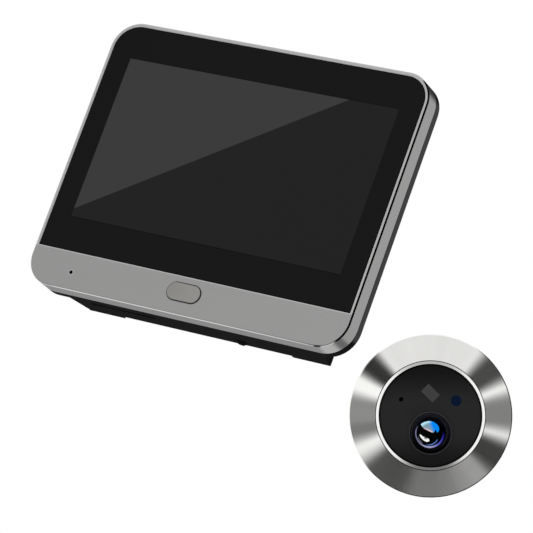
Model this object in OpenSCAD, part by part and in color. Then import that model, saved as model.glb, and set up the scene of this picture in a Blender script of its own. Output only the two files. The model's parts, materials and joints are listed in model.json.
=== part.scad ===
// Peephole door camera: an indoor monitor on its door bracket, and the outdoor camera head beside it.
// The origin is the middle of the bracket's back face. +X is right, +Y goes into the door, +Z is up.
// The monitor's display faces -Y. The camera head has its own place and angles.

/* [Monitor casing] */
// Width of the monitor
body_w = 112.2; // [108:0.2:130]
// Height of the monitor
body_h = 89.1; // [86:0.2:105]
// Radius of the casing's corners
corner_r = 9.2; // [8:0.1:12]
// Depth of the metal front frame
frame_d = 6; // [5.8:0.1:7]
// Wall of the metal front frame
frame_wall = 1.6; // [1.2:0.1:2]
// Polished chamfer round the front edge
edge_chamfer = 0.45; // [0.2:0.05:0.8]
// Height of the metal chin below the glass
chin_h = 12.1; // [11.5:0.1:15]
// Thickness of the metal in the chin
chin_t = 1.4; // [1:0.1:1.8]
// Depth of the rear cover's flush skirt
skirt_d = 3.5; // [2.4:0.1:4]
// Wall of the rear cover
cover_wall = 2; // [1.6:0.1:2.4]
// Chamfer round the back edge of the skirt
skirt_chamfer = 0.5; // [0.2:0.1:1]
// Width of the raised middle at its back
hump_w = 86; // [84:0.5:90]
// How much wider the raised middle is at its foot, on each side
hump_flare = 3.3; // [1:0.1:4]
// Step from the casing's bottom up to the raised middle
hump_bottom_step = 0.9; // [0.8:0.1:2]
// Step from the casing's top down to the raised middle
hump_top_step = 6.7; // [5:0.1:9]
// Length of the tongue that locates the cover in the frame
tongue_l = 1.4; // [1:0.1:2]
// Thickness of that tongue
tongue_t = 1; // [0.8:0.1:1.4]

/* [Glass and display] */
// Metal lip between the glass and the chamfer
lip_w = 0.7; // [0.6:0.05:1.5]
// How far the glass lies below the metal
glass_recess = 0.15; // [0:0.05:0.4]
// Thickness of the cover glass
glass_t = 1.1; // [0.7:0.1:1.5]
// Gap between the glass and the metal
glass_gap = 0.1; // [0.05:0.05:0.2]
// Thickness of the adhesive frame under the glass
tape_t = 0.2; // [0.1:0.05:0.3]
// Thickness of the ledge that carries the glass
ledge_t = 1.2; // [0.8:0.1:1.6]
// Distance from the side of the glass pocket to the display
display_side = 2.1; // [1.5:0.1:3]
// Distance from the end of the glass pocket to the display
display_end = 4.35; // [4:0.05:6]
// Border of the display hidden by the black print, at the sides
border_side = 5.2; // [3:0.1:7]
// Border of the display hidden by the black print, at the ends
border_end = 6.6; // [4:0.1:9]
// Thickness of the dust gasket
gasket_t = 0.5; // [0.3:0.1:0.8]
// Thickness of the display cell
panel_t = 1.3; // [1:0.1:1.6]
// Thickness of the backlight tray
backlight_t = 2; // [1.6:0.1:2.6]
// Width of the display's ribbon
ribbon_w = 24; // [14:1:30]
// Thickness of the display's ribbon
ribbon_t = 0.3; // [0.2:0.05:0.4]

/* [Battery and boards] */
// Thickness of the foam pad under the battery
battery_pad_t = 0.6; // [0.3:0.1:1]
// Thickness of the battery
battery_t = 5.4; // [4:0.1:8]
// Width of the battery
battery_w = 68; // [50:1:78]
// Height of the battery
battery_h = 46; // [36:1:50]
// Room between the battery and the main board
battery_room = 1.45; // [1.3:0.05:3]
// Thickness of the main board
board_t = 1.4; // [1:0.1:1.8]
// Distance from the main board to the back wall
board_standoff = 5.1; // [4.8:0.1:7]
// Distance from the main board's sides to the foot of the back wall
board_side = 1; // [0.8:0.1:2]
// Side of the processor
processor_side = 12; // [8:0.5:14]
// Width of the memory chip
memory_w = 9; // [6:0.5:12]
// Height of the memory chip
memory_h = 11; // [8:0.5:12]
// Side of the power chip
power_chip_side = 7; // [4:0.5:9]
// Thickness of the chips
chip_t = 1.3; // [0.8:0.1:1.8]
// Gap between one chip and the next
chip_gap = 5; // [2:0.5:6]
// Width of the shield can
can_w = 22; // [14:0.5:24]
// Height of the shield can
can_h = 24; // [14:0.5:26]
// Depth of the shield can
can_d = 2; // [1.5:0.1:2.6]
// Wall of the shield can
can_wall = 0.3; // [0.2:0.05:0.5]
// Length of the wireless antenna
antenna_l = 24; // [14:0.5:26]
// Room between the chin's metal and the key board
key_room = 3.6; // [3.4:0.1:4.4]
// Thickness of the key board
key_board_t = 1; // [0.8:0.1:1]

/* [Buttons, microphone and speaker] */
// Width of the oval button
button_w = 11.4; // [9:0.1:16]
// Height of the oval button
button_h = 5.5; // [4:0.1:6]
// Gap round the oval button
button_gap = 0.3; // [0.15:0.05:0.5]
// Room between the wall under the glass and the oval button
button_down = 0.65; // [0.6:0.05:1.2]
// Distance of the oval button to the left of the middle
button_left = 0.3; // [0:0.1:1]
// How far the oval button stands out
button_proud = 0.45; // [0.1:0.05:0.6]
// Travel of the oval button
button_travel = 0.5; // [0.3:0.05:0.6]
// Distance of the microphone hole from the casing's left side
mic_in = 15.8; // [13:0.1:36]
// Height of the microphone hole above the casing's bottom
mic_up = 5.6; // [5:0.1:7]
// Diameter of the microphone hole
mic_hole_d = 1.2; // [0.8:0.1:1.6]
// Place of the power button to the right of the middle
power_right = 14; // [11:0.1:20]
// Diameter of the power button
power_d = 2.8; // [2.6:0.1:3.6]
// How far the power button stands out below the raised middle
power_proud = 0.8; // [0.6:0.1:1.2]
// Travel of the power button
power_travel = 0.5; // [0.3:0.05:0.5]
// Length of the speaker slot
slot_l = 24; // [14:0.5:26]
// Width of the speaker slot
slot_w = 1.2; // [0.8:0.1:2]
// Distance from the speaker slot's middle to the back of the raised middle
slot_from_back = 7.2; // [6.5:0.1:8]

/* [Door bracket] */
// Thickness of the steel plate
bracket_t = 1.5; // [1.2:0.1:2]
// Room between the plate and the back of the monitor
bracket_play = 0.5; // [0.3:0.1:1]
// Height of the plate
bracket_h = 68; // [64:1:74]
// Gap between the plate and the rubber rails
bracket_side_gap = 3; // [1:0.5:4]
// Diameter of the hole for the barrel and cable
bracket_hole_d = 22; // [18:0.5:23]
// Diameter of the screw holes
screw_hole_d = 4.4; // [3.2:0.1:5]
// Distance from the screw holes to the plate's edges
screw_edge = 6; // [5:0.5:6.5]
// Width of a hook
hook_w = 8; // [6:0.5:9]
// Height of a hook's lip
hook_lip = 5; // [4:0.5:5.5]
// Distance of the hooks from the middle
hook_side = 12; // [11.5:0.5:12.5]
// Width of a rubber rail
pad_w = 13; // [9:0.5:14]
// Gap between the rubber rails and the door
pad_stand = 0.3; // [0.1:0.1:0.5]

/* [Camera head] */
// Diameter of the metal bezel
bezel_d = 48; // [46:0.5:60]
// Height of the bezel's cone
cone_h = 6; // [5:0.1:8]
// Depth of the bezel's rim
rim_h = 2; // [1:0.1:4]
// Diameter of the black face
face_d = 30; // [29:0.2:32]
// Thickness of the black face
face_t = 1.8; // [1.2:0.1:2.4]
// Width of the bright trim ring
trim_w = 1; // [0.6:0.1:1.4]
// How far the trim ring stands out
trim_proud = 0.35; // [0.1:0.05:0.8]
// Outer diameter of the lens ring
lens_ring_d = 12.6; // [12:0.1:13]
// Diameter of the front lens
lens_d = 9.4; // [8:0.1:9.8]
// Distance of the lens below the middle of the face
lens_down = 5.1; // [5:0.1:6]
// Diameter of the head's microphone hole
head_mic_d = 1.35; // [0.8:0.05:1.8]
// Length of the grey window
ir_w = 4.65; // [3:0.05:5]
// Width of the grey window
ir_h = 3.05; // [2.6:0.05:3.5]
// Diameter of the blue window
light_d = 3.15; // [2.4:0.05:3.6]
// Length of the barrel behind the back plate
barrel_l = 45; // [40:1:90]
// Outer diameter of the barrel's thread
thread_d = 14; // [13.8:0.1:16]
// Pitch of the barrel's thread
thread_pitch = 1.5; // [1:0.25:2]
// Travel of the nut along the barrel
nut_travel = 20; // [5:1:20]
// Thickness of the rubber ring against the door
door_gasket_t = 1; // [0.6:0.1:2]
// Diameter of the clamp washer
washer_d = 30; // [26:0.5:36]
// Thickness of the clamp washer
washer_t = 1.2; // [0.8:0.1:2]
// Width of the nut across its corners
nut_w = 25; // [22:0.5:30]
// Thickness of the nut
nut_t = 5; // [4:0.5:8]

/* [Place of the camera head] */
// Middle of the head's face, to the right
head_x = 81.6; // [80:0.1:120]
// Middle of the head's face, into the door
head_y = -4.8; // [-20:0.1:20]
// Middle of the head's face, up
head_z = -52.4; // [-80:0.1:-50]
// Tip of the head's axis upwards, in degrees
head_pitch = 12.9; // [0:0.1:20]
// Roll of the head about its axis, in degrees
head_roll = -18.5; // [-25:0.1:0]
// Turn of the head to its left, in degrees
head_yaw = 21.4; // [0:0.1:30]

/* [Hidden] */
$fn = 96;

// Clearances
cut = 1;
sunk = 0.2;
running = 0.05;
seat_gap = 0.1;
loose = 0.3;

// Depths of the monitor, from the door to the front
pad_back_y = -pad_stand;
hump_back_y = -(bracket_t + bracket_play);
cover_in_y = hump_back_y - cover_wall;
board_back_y = cover_in_y - board_standoff;
board_front_y = board_back_y - board_t;
battery_back_y = board_front_y - battery_room;
battery_front_y = battery_back_y - battery_t;
light_back_y = battery_front_y - battery_pad_t;
panel_back_y = light_back_y - backlight_t;
panel_front_y = panel_back_y - panel_t;
glass_back_y = panel_front_y - gasket_t;
glass_front_y = glass_back_y - glass_t;
front_y = glass_front_y - glass_recess;
ledge_y = glass_back_y + tape_t;
ledge_back_y = ledge_y + ledge_t;
chin_back_y = front_y + chin_t;
frame_back_y = front_y + frame_d;
skirt_back_y = frame_back_y + skirt_d;
skirt_in_y = skirt_back_y - cover_wall;
key_front_y = chin_back_y + key_room;
key_back_y = key_front_y + key_board_t;

// Heights and widths of the monitor
half_w = body_w / 2;
half_h = body_h / 2;
rim_w = edge_chamfer + lip_w;
pocket_w = body_w - 2 * rim_w;
pocket_top = half_h - rim_w;
pocket_bottom = chin_h - half_h;
pocket_r = corner_r - rim_w;
display_w = pocket_w - 2 * display_side;
display_top = pocket_top - display_end;
display_bottom = pocket_bottom + display_end;
hump_bottom = hump_bottom_step - half_h;
hump_top = half_h - hump_top_step;
floor_z = hump_bottom + cover_wall;
roof_z = hump_top - cover_wall;
hump_half = hump_w / 2;
button_x = -button_left;
button_z = pocket_bottom - frame_wall - button_down - button_h / 2;
mic_x = mic_in - half_w;
mic_z = mic_up - half_h;

// Main board and what it carries
board_half = hump_half - board_side;
board_up = 8.4;
board_down = 1.5;
board_bottom = floor_z + board_up;
board_top = roof_z - board_down;
board_screw_in = 3;
board_screw_r = 0.8;
board_screw_head_r = 1.6;
board_screw_head_t = 1.1;
standoff_r = 2.6;
battery_z = (board_bottom + board_top) / 2 + 5;
socket_w = 12;
socket_h = 8;
socket_wall = 1.2;
socket_floor = 1.3;
socket_back_y = hump_back_y - 0.6;
pin_rows = 2;
pin_count = 4;
pin_pitch = 2;
pin_side = 0.5;
pin_l = 1;
usb_w = 8.94;
usb_t = 3.26;
usb_l = 7.3;
usb_shell = 0.3;
usb_recess = 0.4;
usb_y = board_back_y + usb_t / 2 + running;
connector_t = 1.5;
connector_h = 4;
connector_z = board_bottom + 6;
chip_in = 18;
chip_down = 15.5;
chip_x = board_half - chip_in;
chip_top = board_top - chip_down;
can_in = 6;
can_down = 8.5;
can_left = can_in - board_half;
can_top = board_top - can_down;
antenna_in = 5;
antenna_right = hump_half - antenna_in;
ribbon_drop = 2.4;
tray_inset = 0.4;

// Screws of the casing
case_screw_r = 1;
case_head_r = 1.9;
case_head_t = 1.1;
case_boss_r = 2.2;
case_screw_side = half_w - 6.2;
case_screw_top = half_h - 3.3;
case_screw_bottom = 6.2 - half_h;
case_floor_y = skirt_back_y - 1.2;
case_tip_y = case_floor_y - 4.6;
case_points = [for (sx = [-1, 1], z = [case_screw_bottom, case_screw_top]) [sx * case_screw_side, z]];
board_points = [for (
    sx = [-1, 1],
    z = [board_bottom + board_screw_in + 0.5, board_top - board_screw_in - 1]
) [sx * (board_half - board_screw_in), z]];

// Key board and what it carries
key_bottom = frame_wall + seat_gap + tongue_t + loose - half_h;
key_top = pocket_bottom - frame_wall - loose;
key_z = (key_bottom + key_top) / 2;
key_end = 4;
key_arm = 7;
key_left = mic_x - key_end;
key_right = button_w / 2 + key_arm;
key_screw_r = 0.8;
key_post_r = 1.9;
key_points = [[key_left / 2, key_z], [key_right - 2.2, key_z]];
switch_side = 6;
switch_t = 2.1;
plunger_r = 1.6;
plunger_l = 1.7;
flange_t = 0.5;
flange_rim = 0.5;
button_back_y = chin_back_y + sunk;
flange_back_y = button_back_y + flange_t;
mic_r = 2;
mic_t = 1.6;
boot_wall = 0.75;

// Power button and its switch
power_x = power_right;
power_y = hump_back_y - 2.6;
power_stem_y = cover_in_y - 1.6;
power_stem_r = 1.2;
power_tab_t = 0.8;
power_tab_half = 2.6;
power_switch_t = 4.4;
power_switch_bottom = board_bottom - 0.5;
scoop_r = 2.1;
scoop_d = 0.35;

// Speaker
slot_y = hump_back_y - slot_from_back;
slot_x = -hump_half + 4.5 + slot_l / 2;
speaker_rim = 1;
speaker_depth = 9.4;
speaker_h = 4.5;
speaker_gasket_t = 0.6;

// Bracket
bracket_w = hump_w - 2 * pad_w - 2 * bracket_side_gap;
bracket_r = 5;
hook_t = bracket_t;
hook_reach = bracket_play + cover_wall + hook_t + 0.6;
hook_lift = hook_lip + 1;
hook_tops = [15, -20];
hook_window = 8;
slot_play = 0.5;

// Depths of the camera head, from its face into the door
bezel_r = bezel_d / 2;
face_r = face_d / 2;
trim_in_r = face_r + running;
trim_out_r = face_r + trim_w;
bezel_in_r = trim_out_r + running;
face_front = 0.1;
face_back = face_front + face_t;
seal_t = 0.6;
seal_in_r = face_r - 1.3;
shelf_y = face_back + seal_t;
shelf_t = 1;
shelf_in_r = seal_in_r - 0.1;
hollow_r = bezel_in_r + 0.85;
back_y = cone_h + rim_h;
plate_t = 1.4;
plate_back_y = back_y + plate_t;
plate_r = bezel_r - 1.4;
spigot_t = 0.6;
spigot_in_r = 11;
spigot_r = hollow_r - seat_gap;
camera_board_back = back_y - spigot_t;
camera_board_t = 1;
camera_board_front = camera_board_back - camera_board_t;
camera_board_r = hollow_r - 2.5;
gasket_back_y = plate_back_y + door_gasket_t;

// Lens, along the head's depth
lens_z = -lens_down;
lens_r = lens_d / 2;
lens_bore_r = lens_r + running;
lens_ring_r = lens_ring_d / 2;
lens_ring_proud = 0.45;
lens_curve_r = 9;
lens_front_tip = -0.55;
lens_front_back = 1.4;
lens_ring_back = face_back + 0.7;
lens_barrel_wall = 1.4;
lens_barrel_back = camera_board_front - 1;
lens_inner_front = 2.2;
lens_inner_t = 1.2;
holder_r = 6.2;
holder_base = 13;
holder_base_t = 0.8;
sensor_side = 6.4;
sensor_t = 0.9;
sensor_window_side = 7;

// Windows and microphone of the head
ir_x = 0;
ir_z = 6.6;
ir_turn = 45;
ir_guide = 0.5;
led_t = 0.8;
guide_back = camera_board_front - led_t;
light_x = 7.5;
light_z = 4.4;
light_guide_r = 1.2;
sensor_chip = 2.4;
head_mic_x = -8.55;
head_mic_z = 4.75;
head_mic_r = 2.2;
head_mic_t = 2.4;

// Barrel
shoulder_l = 4.3;
shoulder_r = thread_d / 2 + 0.4;
shoulder_back = plate_back_y + shoulder_l;
thread_r = thread_d / 2;
thread_root_r = thread_r - 0.45 * thread_pitch;
barrel_foot_r = thread_root_r;
pilot_l = 10;
pilot_r = thread_root_r - 0.1;
pilot_chamfer = 0.5;
barrel_back = plate_back_y + barrel_l;
thread_back = barrel_back - pilot_l;
thread_turns = floor((thread_back - shoulder_back) / thread_pitch);
port_r = pilot_r - 0.9;
port_l = 8;
bore_r = port_r - 0.4;
port_floor = barrel_back - port_l;
socket_l = 4;
plug_w = 6;
plug_h = 3.2;
plug_d = 3;
lead_w = 6;
lead_t = 0.6;
head_screw_ring = (hollow_r + plate_r) / 2;
head_screw_r = 0.95;
head_screw_head_r = 1.8;
head_screw_head_t = 1;
head_screw_l = 4.4;
head_screw_count = 3;
gasket_in_r = shoulder_r + 1.6;
washer_r = washer_d / 2;
washer_front = shoulder_back + sunk;
nut_r = nut_w / 2;
nut_front = washer_front + washer_t + seat_gap;

// Colours
frame_colour = [0.58, 0.58, 0.57];
black_colour = [0.1, 0.1, 0.1];
cover_colour = [0.13, 0.13, 0.14];
board_colour = [0.05, 0.3, 0.16];
steel_colour = [0.7, 0.71, 0.72];
rubber_colour = [0.07, 0.07, 0.07];

// Half width of the raised middle at a given depth
function hump_at(y) = hump_half + hump_flare * (hump_back_y - y) / (hump_back_y - skirt_back_y);

// A flat outline, drawn in X and Z, made solid from y0 to y1
module slab(y0, y1) {
    translate([0, y1, 0])
        rotate([90, 0, 0])
            linear_extrude(y1 - y0)
                children();
}

// A box between two corners
module block(low, high) {
    translate(low)
        cube(high - low);
}

// A round bar along Y
module bar(x, z, r, y0, y1) {
    translate([x, y1, z])
        rotate([90, 0, 0])
            cylinder(r = r, h = y1 - y0);
}

// An outline turned about the Y axis: its first number is the radius, its second the depth
module turned() {
    rotate([-90, 0, 0])
        rotate_extrude()
            children();
}

module rounded_rect(w, h, r) {
    square([w - 2 * r, h], center = true);
    square([w, h - 2 * r], center = true);
    for (sx = [-1, 1], sz = [-1, 1])
        translate([sx * (w / 2 - r), sz * (h / 2 - r)])
            circle(r);
}

// An outline with round ends, as wide as w and as high as h
module oval(w, h) {
    square([w - h, h], center = true);
    for (sx = [-1, 1])
        translate([sx * (w - h) / 2, 0])
            circle(h / 2);
}

// A rounded slab with a sloped front edge: two crossed bars and four turned corners
module chamfered_slab(w, h, r, slope, y0, y1) {
    rotate([90, 0, 90])
        linear_extrude(w - 2 * r, center = true)
            polygon([
                [y0, slope - h / 2], [y0 + slope, -h / 2], [y1, -h / 2],
                [y1, h / 2], [y0 + slope, h / 2], [y0, h / 2 - slope]
            ]);
    linear_extrude(h - 2 * r, center = true)
        polygon([
            [slope - w / 2, y0], [w / 2 - slope, y0], [w / 2, y0 + slope],
            [w / 2, y1], [-w / 2, y1], [-w / 2, y0 + slope]
        ]);
    for (sx = [-1, 1], sz = [-1, 1])
        translate([sx * (w / 2 - r), 0, sz * (h / 2 - r)])
            turned()
                polygon([[0, y0], [r - slope, y0], [r, y0 + slope], [r, y1], [0, y1]]);
}

// Outline of the glass: round at the top, square at the bottom, smaller by inset
module glass_outline(inset) {
    w = pocket_w - 2 * inset;
    r = pocket_r - inset;
    top = pocket_top - inset;
    bottom = pocket_bottom + inset;
    translate([-w / 2, bottom])
        square([w, top - r - bottom]);
    translate([r - w / 2, bottom])
        square([w - 2 * r, top - bottom]);
    for (sx = [-1, 1])
        translate([sx * (w / 2 - r), top - r])
            circle(r);
}

// A border between the glass outline and the display, for what lies under the glass
module display_outline(grow) {
    translate([-display_w / 2 - grow, display_bottom - grow])
        square([display_w + 2 * grow, display_top - display_bottom + 2 * grow]);
}

// The inside of the casing's outline
module casing_inside(inset) {
    rounded_rect(body_w - 2 * inset, body_h - 2 * inset, corner_r - inset);
}

// A screw along Y with its head at the back
module back_screw(x, z, r, tip_y, seat_y, head_r, head_t) {
    difference() {
        union() {
            bar(x, z, r, tip_y, seat_y);
            bar(x, z, head_r, seat_y, seat_y + head_t);
        }
        for (turn = [0, 90])
            translate([x, seat_y + head_t, z])
                rotate([0, turn, 0])
                    cube([head_r * 1.2, head_t, head_r * 0.3], center = true);
    }
}

module front_frame() {
    boss_back = frame_back_y;
    color(frame_colour)
    difference() {
        union() {
            difference() {
                chamfered_slab(body_w, body_h, corner_r, edge_chamfer, front_y, frame_back_y);
                slab(front_y - cut, ledge_y)
                    glass_outline(0);
                slab(ledge_y - cut, ledge_back_y + cut)
                    display_outline(loose);
                slab(ledge_back_y, frame_back_y + cut)
                    casing_inside(frame_wall);
                intersection() {
                    slab(chin_back_y, frame_back_y)
                        casing_inside(frame_wall);
                    block(
                        [-half_w, chin_back_y, -half_h],
                        [half_w, frame_back_y, pocket_bottom - frame_wall]
                    );
                }
            }
            for (p = case_points)
                bar(p[0], p[1], case_boss_r, (p[1] > 0 ? ledge_back_y : chin_back_y) - sunk, boss_back);
            for (p = key_points)
                bar(p[0], p[1], key_post_r, chin_back_y - sunk, key_front_y);
        }
        translate([button_x, 0, button_z])
            slab(front_y - cut, chin_back_y + cut)
                oval(button_w + 2 * button_gap, button_h + 2 * button_gap);
        bar(mic_x, mic_z, mic_hole_d / 2, front_y - cut, chin_back_y + cut);
        for (p = case_points)
            bar(p[0], p[1], case_screw_r + running, case_tip_y - sunk, frame_back_y + cut);
        for (p = key_points)
            bar(p[0], p[1], key_screw_r + running, chin_back_y, key_front_y + cut);
    }
}

module cover_glass() {
    color(black_colour)
    slab(glass_front_y, glass_back_y)
        glass_outline(glass_gap);
}

module glass_tape() {
    color(rubber_colour)
    difference() {
        slab(glass_back_y, ledge_y)
            glass_outline(glass_gap + seat_gap);
        slab(glass_back_y - cut, ledge_y + cut)
            display_outline(loose);
    }
}

module display_gasket() {
    color(rubber_colour)
    difference() {
        slab(glass_back_y, panel_front_y)
            display_outline(0);
        block(
            [border_side - display_w / 2, glass_back_y - cut, display_bottom + border_end],
            [display_w / 2 - border_side, panel_front_y + cut, display_top - border_end]
        );
    }
}

module display_panel() {
    color([0.14, 0.14, 0.15])
    slab(panel_front_y, panel_back_y)
        display_outline(-seat_gap);
}

module display_backlight() {
    color(steel_colour)
    slab(panel_back_y, light_back_y)
        display_outline(-tray_inset);
}

module display_ribbon() {
    start_y = panel_back_y - ribbon_t;
    end_y = board_front_y - connector_t - running;
    low_z = display_bottom - ribbon_drop;
    color([0.75, 0.48, 0.12])
    union() {
        block([-ribbon_w / 2, start_y, low_z], [ribbon_w / 2, start_y + ribbon_t, display_bottom]);
        block([-ribbon_w / 2, start_y, low_z - ribbon_t], [ribbon_w / 2, end_y, low_z]);
        block(
            [-ribbon_w / 2, end_y - ribbon_t, low_z - ribbon_t],
            [ribbon_w / 2, end_y, connector_z + connector_h / 4]
        );
    }
}

module ribbon_connector() {
    w = ribbon_w + 4;
    color([0.85, 0.82, 0.74])
    block(
        [-w / 2, board_front_y - connector_t, connector_z - connector_h / 2],
        [w / 2, board_front_y, connector_z + connector_h / 2]
    );
}

module battery_pad() {
    color([0.2, 0.2, 0.2])
    translate([0, 0, battery_z])
        slab(light_back_y, battery_front_y)
            rounded_rect(battery_w - 8, battery_h - 8, 2);
}

module battery_pack() {
    color([0.62, 0.65, 0.7])
    translate([0, 0, battery_z])
        slab(battery_front_y, battery_back_y)
            rounded_rect(battery_w, battery_h, 3);
}

module main_board() {
    color(board_colour)
    difference() {
        block([-board_half, board_front_y, board_bottom], [board_half, board_back_y, board_top]);
        for (p = board_points)
            bar(p[0], p[1], board_screw_r + seat_gap, board_front_y - cut, board_back_y + cut);
    }
}

// Three packages on the board: its processor, memory and power chip
module board_chips() {
    memory_top = chip_top - processor_side - chip_gap;
    power_top = memory_top - memory_h - chip_gap;
    color([0.12, 0.12, 0.12])
    for (chip = [
        [processor_side, processor_side, chip_top],
        [memory_w, memory_h, memory_top],
        [power_chip_side, power_chip_side, power_top]
    ])
        block(
            [chip_x - chip[0] / 2, board_back_y, chip[2] - chip[1]],
            [chip_x + chip[0] / 2, board_back_y + chip_t, chip[2]]
        );
}

module shield_can() {
    color(steel_colour)
    difference() {
        block(
            [can_left, board_back_y, can_top - can_h],
            [can_left + can_w, board_back_y + can_d, can_top]
        );
        block(
            [can_left + can_wall, board_back_y - cut, can_top - can_h + can_wall],
            [can_left + can_w - can_wall, board_back_y + can_d - can_wall, can_top - can_wall]
        );
    }
}

module board_screws() {
    color(steel_colour)
    for (p = board_points)
        mirror([0, 1, 0])
            back_screw(p[0], p[1], board_screw_r, -cover_in_y, -board_front_y, board_screw_head_r,
                board_screw_head_t);
}

module camera_socket() {
    color([0.88, 0.86, 0.8])
    difference() {
        block([-socket_w / 2, board_back_y, -socket_h / 2], [socket_w / 2, socket_back_y, socket_h / 2]);
        block(
            [socket_wall - socket_w / 2, board_back_y + socket_floor, socket_wall - socket_h / 2],
            [socket_w / 2 - socket_wall, socket_back_y + cut, socket_h / 2 - socket_wall]
        );
        for (i = [0:pin_count - 1], j = [0:pin_rows - 1])
            translate([pin_x(i), board_back_y, pin_z(j)])
                cube([pin_side, 4 * socket_floor, pin_side], center = true);
    }
}

function pin_x(i) = (i - (pin_count - 1) / 2) * pin_pitch;
function pin_z(j) = (j - (pin_rows - 1) / 2) * pin_pitch;

module socket_pins() {
    back = board_back_y + socket_floor + pin_l;
    color([0.83, 0.68, 0.3])
    for (i = [0:pin_count - 1], j = [0:pin_rows - 1])
        translate([pin_x(i), (board_back_y + back) / 2, pin_z(j)])
            cube([pin_side, back - board_back_y, pin_side], center = true);
}

// The charging socket is an oval metal shell with a tongue, open at the top
module usb_port() {
    top = hump_top - usb_recess;
    color(steel_colour)
    translate([0, usb_y, 0]) {
        difference() {
            translate([0, 0, top - usb_l])
                linear_extrude(usb_l)
                    oval(usb_w, usb_t);
            translate([0, 0, top - usb_l + 1])
                linear_extrude(usb_l)
                    oval(usb_w - 2 * usb_shell, usb_t - 2 * usb_shell);
        }
        translate([0, 0, top - usb_l / 2 - 0.4])
            cube([usb_w - 2.2, 0.7, usb_l - 1.2], center = true);
    }
}

module wifi_antenna() {
    color([0.1, 0.12, 0.2])
    block(
        [antenna_right - antenna_l, board_back_y + 2 * sunk, roof_z - seat_gap - loose],
        [antenna_right, cover_in_y - 2 * sunk, roof_z - seat_gap]
    );
}

module speaker() {
    z0 = floor_z + speaker_gasket_t;
    half = slot_l / 2 + speaker_rim;
    color([0.16, 0.16, 0.17])
    difference() {
        block([slot_x - half, slot_y - speaker_depth / 2, z0],
            [slot_x + half, slot_y + speaker_depth / 2, z0 + speaker_h]);
        block([slot_x - half + 2, slot_y - speaker_depth / 2 + 2, z0 - cut],
            [slot_x + half - 2, slot_y + speaker_depth / 2 - 2, z0 + 0.8]);
    }
}

module speaker_gasket() {
    half = slot_l / 2 + speaker_rim;
    color(rubber_colour)
    difference() {
        block([slot_x - half, slot_y - speaker_depth / 2, floor_z],
            [slot_x + half, slot_y + speaker_depth / 2, floor_z + speaker_gasket_t]);
        block([slot_x - half + 1, slot_y - speaker_depth / 2 + 2, floor_z - cut],
            [slot_x + half - 1, slot_y + speaker_depth / 2 - 2, floor_z + speaker_gasket_t + cut]);
    }
}

module key_board() {
    color(board_colour)
    difference() {
        block([key_left, key_front_y, key_bottom], [key_right, key_back_y, key_top]);
        for (p = key_points)
            bar(p[0], p[1], key_screw_r + seat_gap, key_front_y - cut, key_back_y + cut);
    }
}

module key_board_screws() {
    color(steel_colour)
    for (p = key_points)
        back_screw(p[0], p[1], key_screw_r, chin_back_y + 0.5, key_back_y, 1.6, 0.9);
}

module key_switch() {
    color([0.15, 0.15, 0.15])
    difference() {
        block(
            [button_x - switch_side / 2, key_front_y - switch_t, button_z - switch_side / 2],
            [button_x + switch_side / 2, key_front_y, button_z + switch_side / 2]
        );
        bar(button_x, button_z, plunger_r + running, key_front_y - switch_t - cut, key_front_y - sunk);
    }
}

module key_plunger() {
    color([0.9, 0.9, 0.88])
    bar(button_x, button_z, plunger_r, flange_back_y, flange_back_y + plunger_l);
}

module microphone() {
    color(steel_colour)
    bar(mic_x, mic_z, mic_r, key_front_y - mic_t, key_front_y);
}

module mic_boot() {
    front = chin_back_y + running;
    color(rubber_colour)
    difference() {
        bar(mic_x, mic_z, mic_r + boot_wall, front, key_front_y - loose);
        bar(mic_x, mic_z, mic_r + running, key_front_y - mic_t - running, key_front_y);
        bar(mic_x, mic_z, mic_hole_d / 2, front - cut, key_front_y);
    }
}

module power_switch() {
    color([0.15, 0.15, 0.15])
    block(
        [power_x - power_tab_half, board_back_y, power_switch_bottom],
        [power_x + power_tab_half, power_stem_y + power_stem_r, power_switch_bottom + power_switch_t]
    );
}

// The hollow of the raised middle
module hump_hollow() {
    y0 = skirt_in_y - sunk;
    wall = cover_wall * 1.03;
    translate([0, 0, floor_z])
        linear_extrude(roof_z - floor_z)
            polygon([
                [wall - hump_at(y0), y0], [hump_at(y0) - wall, y0],
                [hump_at(cover_in_y) - wall, cover_in_y], [wall - hump_at(cover_in_y), cover_in_y]
            ]);
}

// The rear cover before its holes are cut
module cover_shell() {
    y0 = skirt_back_y - skirt_chamfer - sunk;
    tongue_in = frame_wall + seat_gap;
    difference() {
        union() {
            mirror([0, 1, 0])
                chamfered_slab(body_w, body_h, corner_r, skirt_chamfer, -skirt_back_y, -frame_back_y);
            translate([0, 0, hump_bottom])
                linear_extrude(hump_top - hump_bottom)
                    polygon([
                        [-hump_at(y0), y0], [hump_at(y0), y0],
                        [hump_half, hump_back_y], [-hump_half, hump_back_y]
                    ]);
            slab(frame_back_y - tongue_l, frame_back_y + sunk)
                casing_inside(tongue_in);
        }
        slab(frame_back_y - tongue_l - cut, skirt_in_y)
            casing_inside(tongue_in + tongue_t);
        hump_hollow();
        for (p = case_points)
            bar(p[0], p[1], case_boss_r + loose, frame_back_y - tongue_l - cut, frame_back_y);
    }
}

// A slot for one hook of the bracket, tall enough for the lip to pass when the monitor is lifted
module hook_slot(x, top) {
    block(
        [x - hook_w / 2 - slot_play, cover_in_y - cut, top - hook_t - hook_lift - slot_play],
        [x + hook_w / 2 + slot_play, hump_back_y + cut, top + seat_gap]
    );
}

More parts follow.
